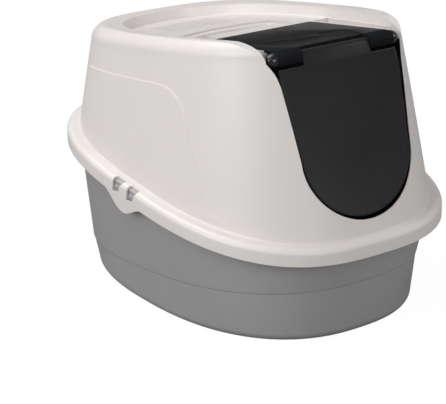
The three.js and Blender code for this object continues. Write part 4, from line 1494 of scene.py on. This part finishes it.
@dataclass
class Studio:
    """Floor, lamps, sky and camera; the lamps are given by place and side in metres, and watts."""

    azimuth: float = -37.192
    elevation: float = 19.134
    distance: float = 2550.25
    focal: float = 1668.52
    sideways: float = 8.085
    aim_height: float = 165.75
    centre: Span = (255.0, 172.0)
    image: tuple[int, int] = (446, 404)
    sensor: float = 36.0
    sky: float = 0.16
    floor_half: float = 6000.0
    floor_level: float = -0.5
    floor_tone: float = 0.3
    floor_glow: float = 1.2
    floor_share: float = 0.8
    lamp_aim: tuple[float, float, float] = (0.0, 0.0, 0.22)
    lamps: tuple[tuple[str, tuple[float, float, float], float, float], ...] = (
        ("left", (-2.8, -0.5, 1.5), 1.4, 20.0),
        ("low", (-2.7, 0.2, 1.0), 1.2, 20.0),
        ("high", (-2.0, -0.8, 2.4), 1.4, 11.0),
        ("front", (-0.2, -2.9, 1.2), 1.4, 24.0),
        ("top", (-0.4, 1.0, 2.6), 1.8, 45.0),
        ("right", (2.4, -1.6, 1.4), 1.4, 15.0),
    )

    def camera(self) -> None:
        """Set the camera where the photograph was taken."""
        turn, lift = math.radians(self.azimuth), math.radians(self.elevation)
        back = Vector((math.sin(turn) * math.cos(lift), -math.cos(turn) * math.cos(lift), math.sin(lift)))
        right = Vector((math.cos(turn), math.sin(turn), 0))
        spot = Vector((0, 0, self.aim_height)) + right * self.sideways + back * self.distance
        wide, high = self.image
        lens = bpy.data.cameras.new("camera")
        lens.sensor_width = self.sensor
        lens.lens = self.focal / wide * self.sensor
        lens.shift_x = (wide / 2 - self.centre[0]) / wide
        lens.shift_y = (self.centre[1] - high / 2) / wide
        lens.clip_end = 100.0
        made = linked("camera", lens)
        turned_to = Matrix((right, back.cross(right), back)).transposed().to_4x4()
        made.matrix_world = Matrix.Translation(spot * MM) @ turned_to
        bpy.context.scene.camera = made

    def lamp(self, name: str, spot: Sequence[float], size: float, power: float) -> None:
        """Add a square area lamp that faces the object.

        Args:
            name: the lamp's name.
            spot: where it stands, in metres.
            size: its side in metres.
            power: its power in watts.
        """
        light = bpy.data.lights.new(name, "AREA")
        light.shape = "SQUARE"
        light.size = size
        light.energy = power
        made = linked(name, light)
        toward = Vector(self.lamp_aim) - Vector(spot)
        made.rotation_euler = toward.to_track_quat("-Z", "Y").to_euler()
        made.location = spot

    def world(self) -> None:
        """Make a soft sky that the camera sees as white."""
        world = bpy.data.worlds.new("sky")
        bpy.context.scene.world = world
        tree = fresh_tree(world)
        strength = node(tree, "ShaderNodeLightPath", output="Is Camera Ray") * (1.0 - self.sky) + self.sky
        glow = node(tree, "ShaderNodeBackground", None, {"Color": (1, 1, 1, 1), "Strength": strength})
        lead_out("ShaderNodeOutputWorld", "Surface", glow)

    def floor(self) -> None:
        """Make the pale floor, which keeps the object's shadow."""
        half, tone = self.floor_half, self.floor_tone
        corners = np.array([[-half, -half], [half, -half], [half, half], [-half, half]])
        made = mesh_object("floor", at_height(corners, self.floor_level), [[0, 1, 2, 3]])
        paint = bpy.data.materials.new("floor_paint")
        tree = fresh_tree(paint)
        share = node(tree, "ShaderNodeLightPath", output="Is Camera Ray") * self.floor_share
        matt = node(tree, "ShaderNodeBsdfDiffuse", None, {"Color": (tone, tone, tone, 1), "Roughness": 0.5})
        glow = node(tree, "ShaderNodeEmission", None, {"Color": (1, 1, 1, 1), "Strength": self.floor_glow})
        mix = node(tree, "ShaderNodeMixShader", None, {0: share, 1: matt, 2: glow})
        lead_out("ShaderNodeOutputMaterial", "Surface", mix)
        made.data.materials.append(paint)

    def build(self) -> None:
        """Set up everything round the object."""
        self.camera()
        self.world()
        self.floor()
        for lamp in self.lamps:
            self.lamp(*lamp)
        bpy.context.scene.view_settings.view_transform = "Standard"


def main() -> None:
    """Build the studio and every sub-assembly in order."""
    logging.basicConfig(level=logging.INFO, format="%(name)s %(message)s")
    for assembly in (Studio(), Hood(), Pan(), TopLid(), Flap(), CarryHandle(), FilterTray()):
        assembly.build()


if __name__ == "__main__":
    main()
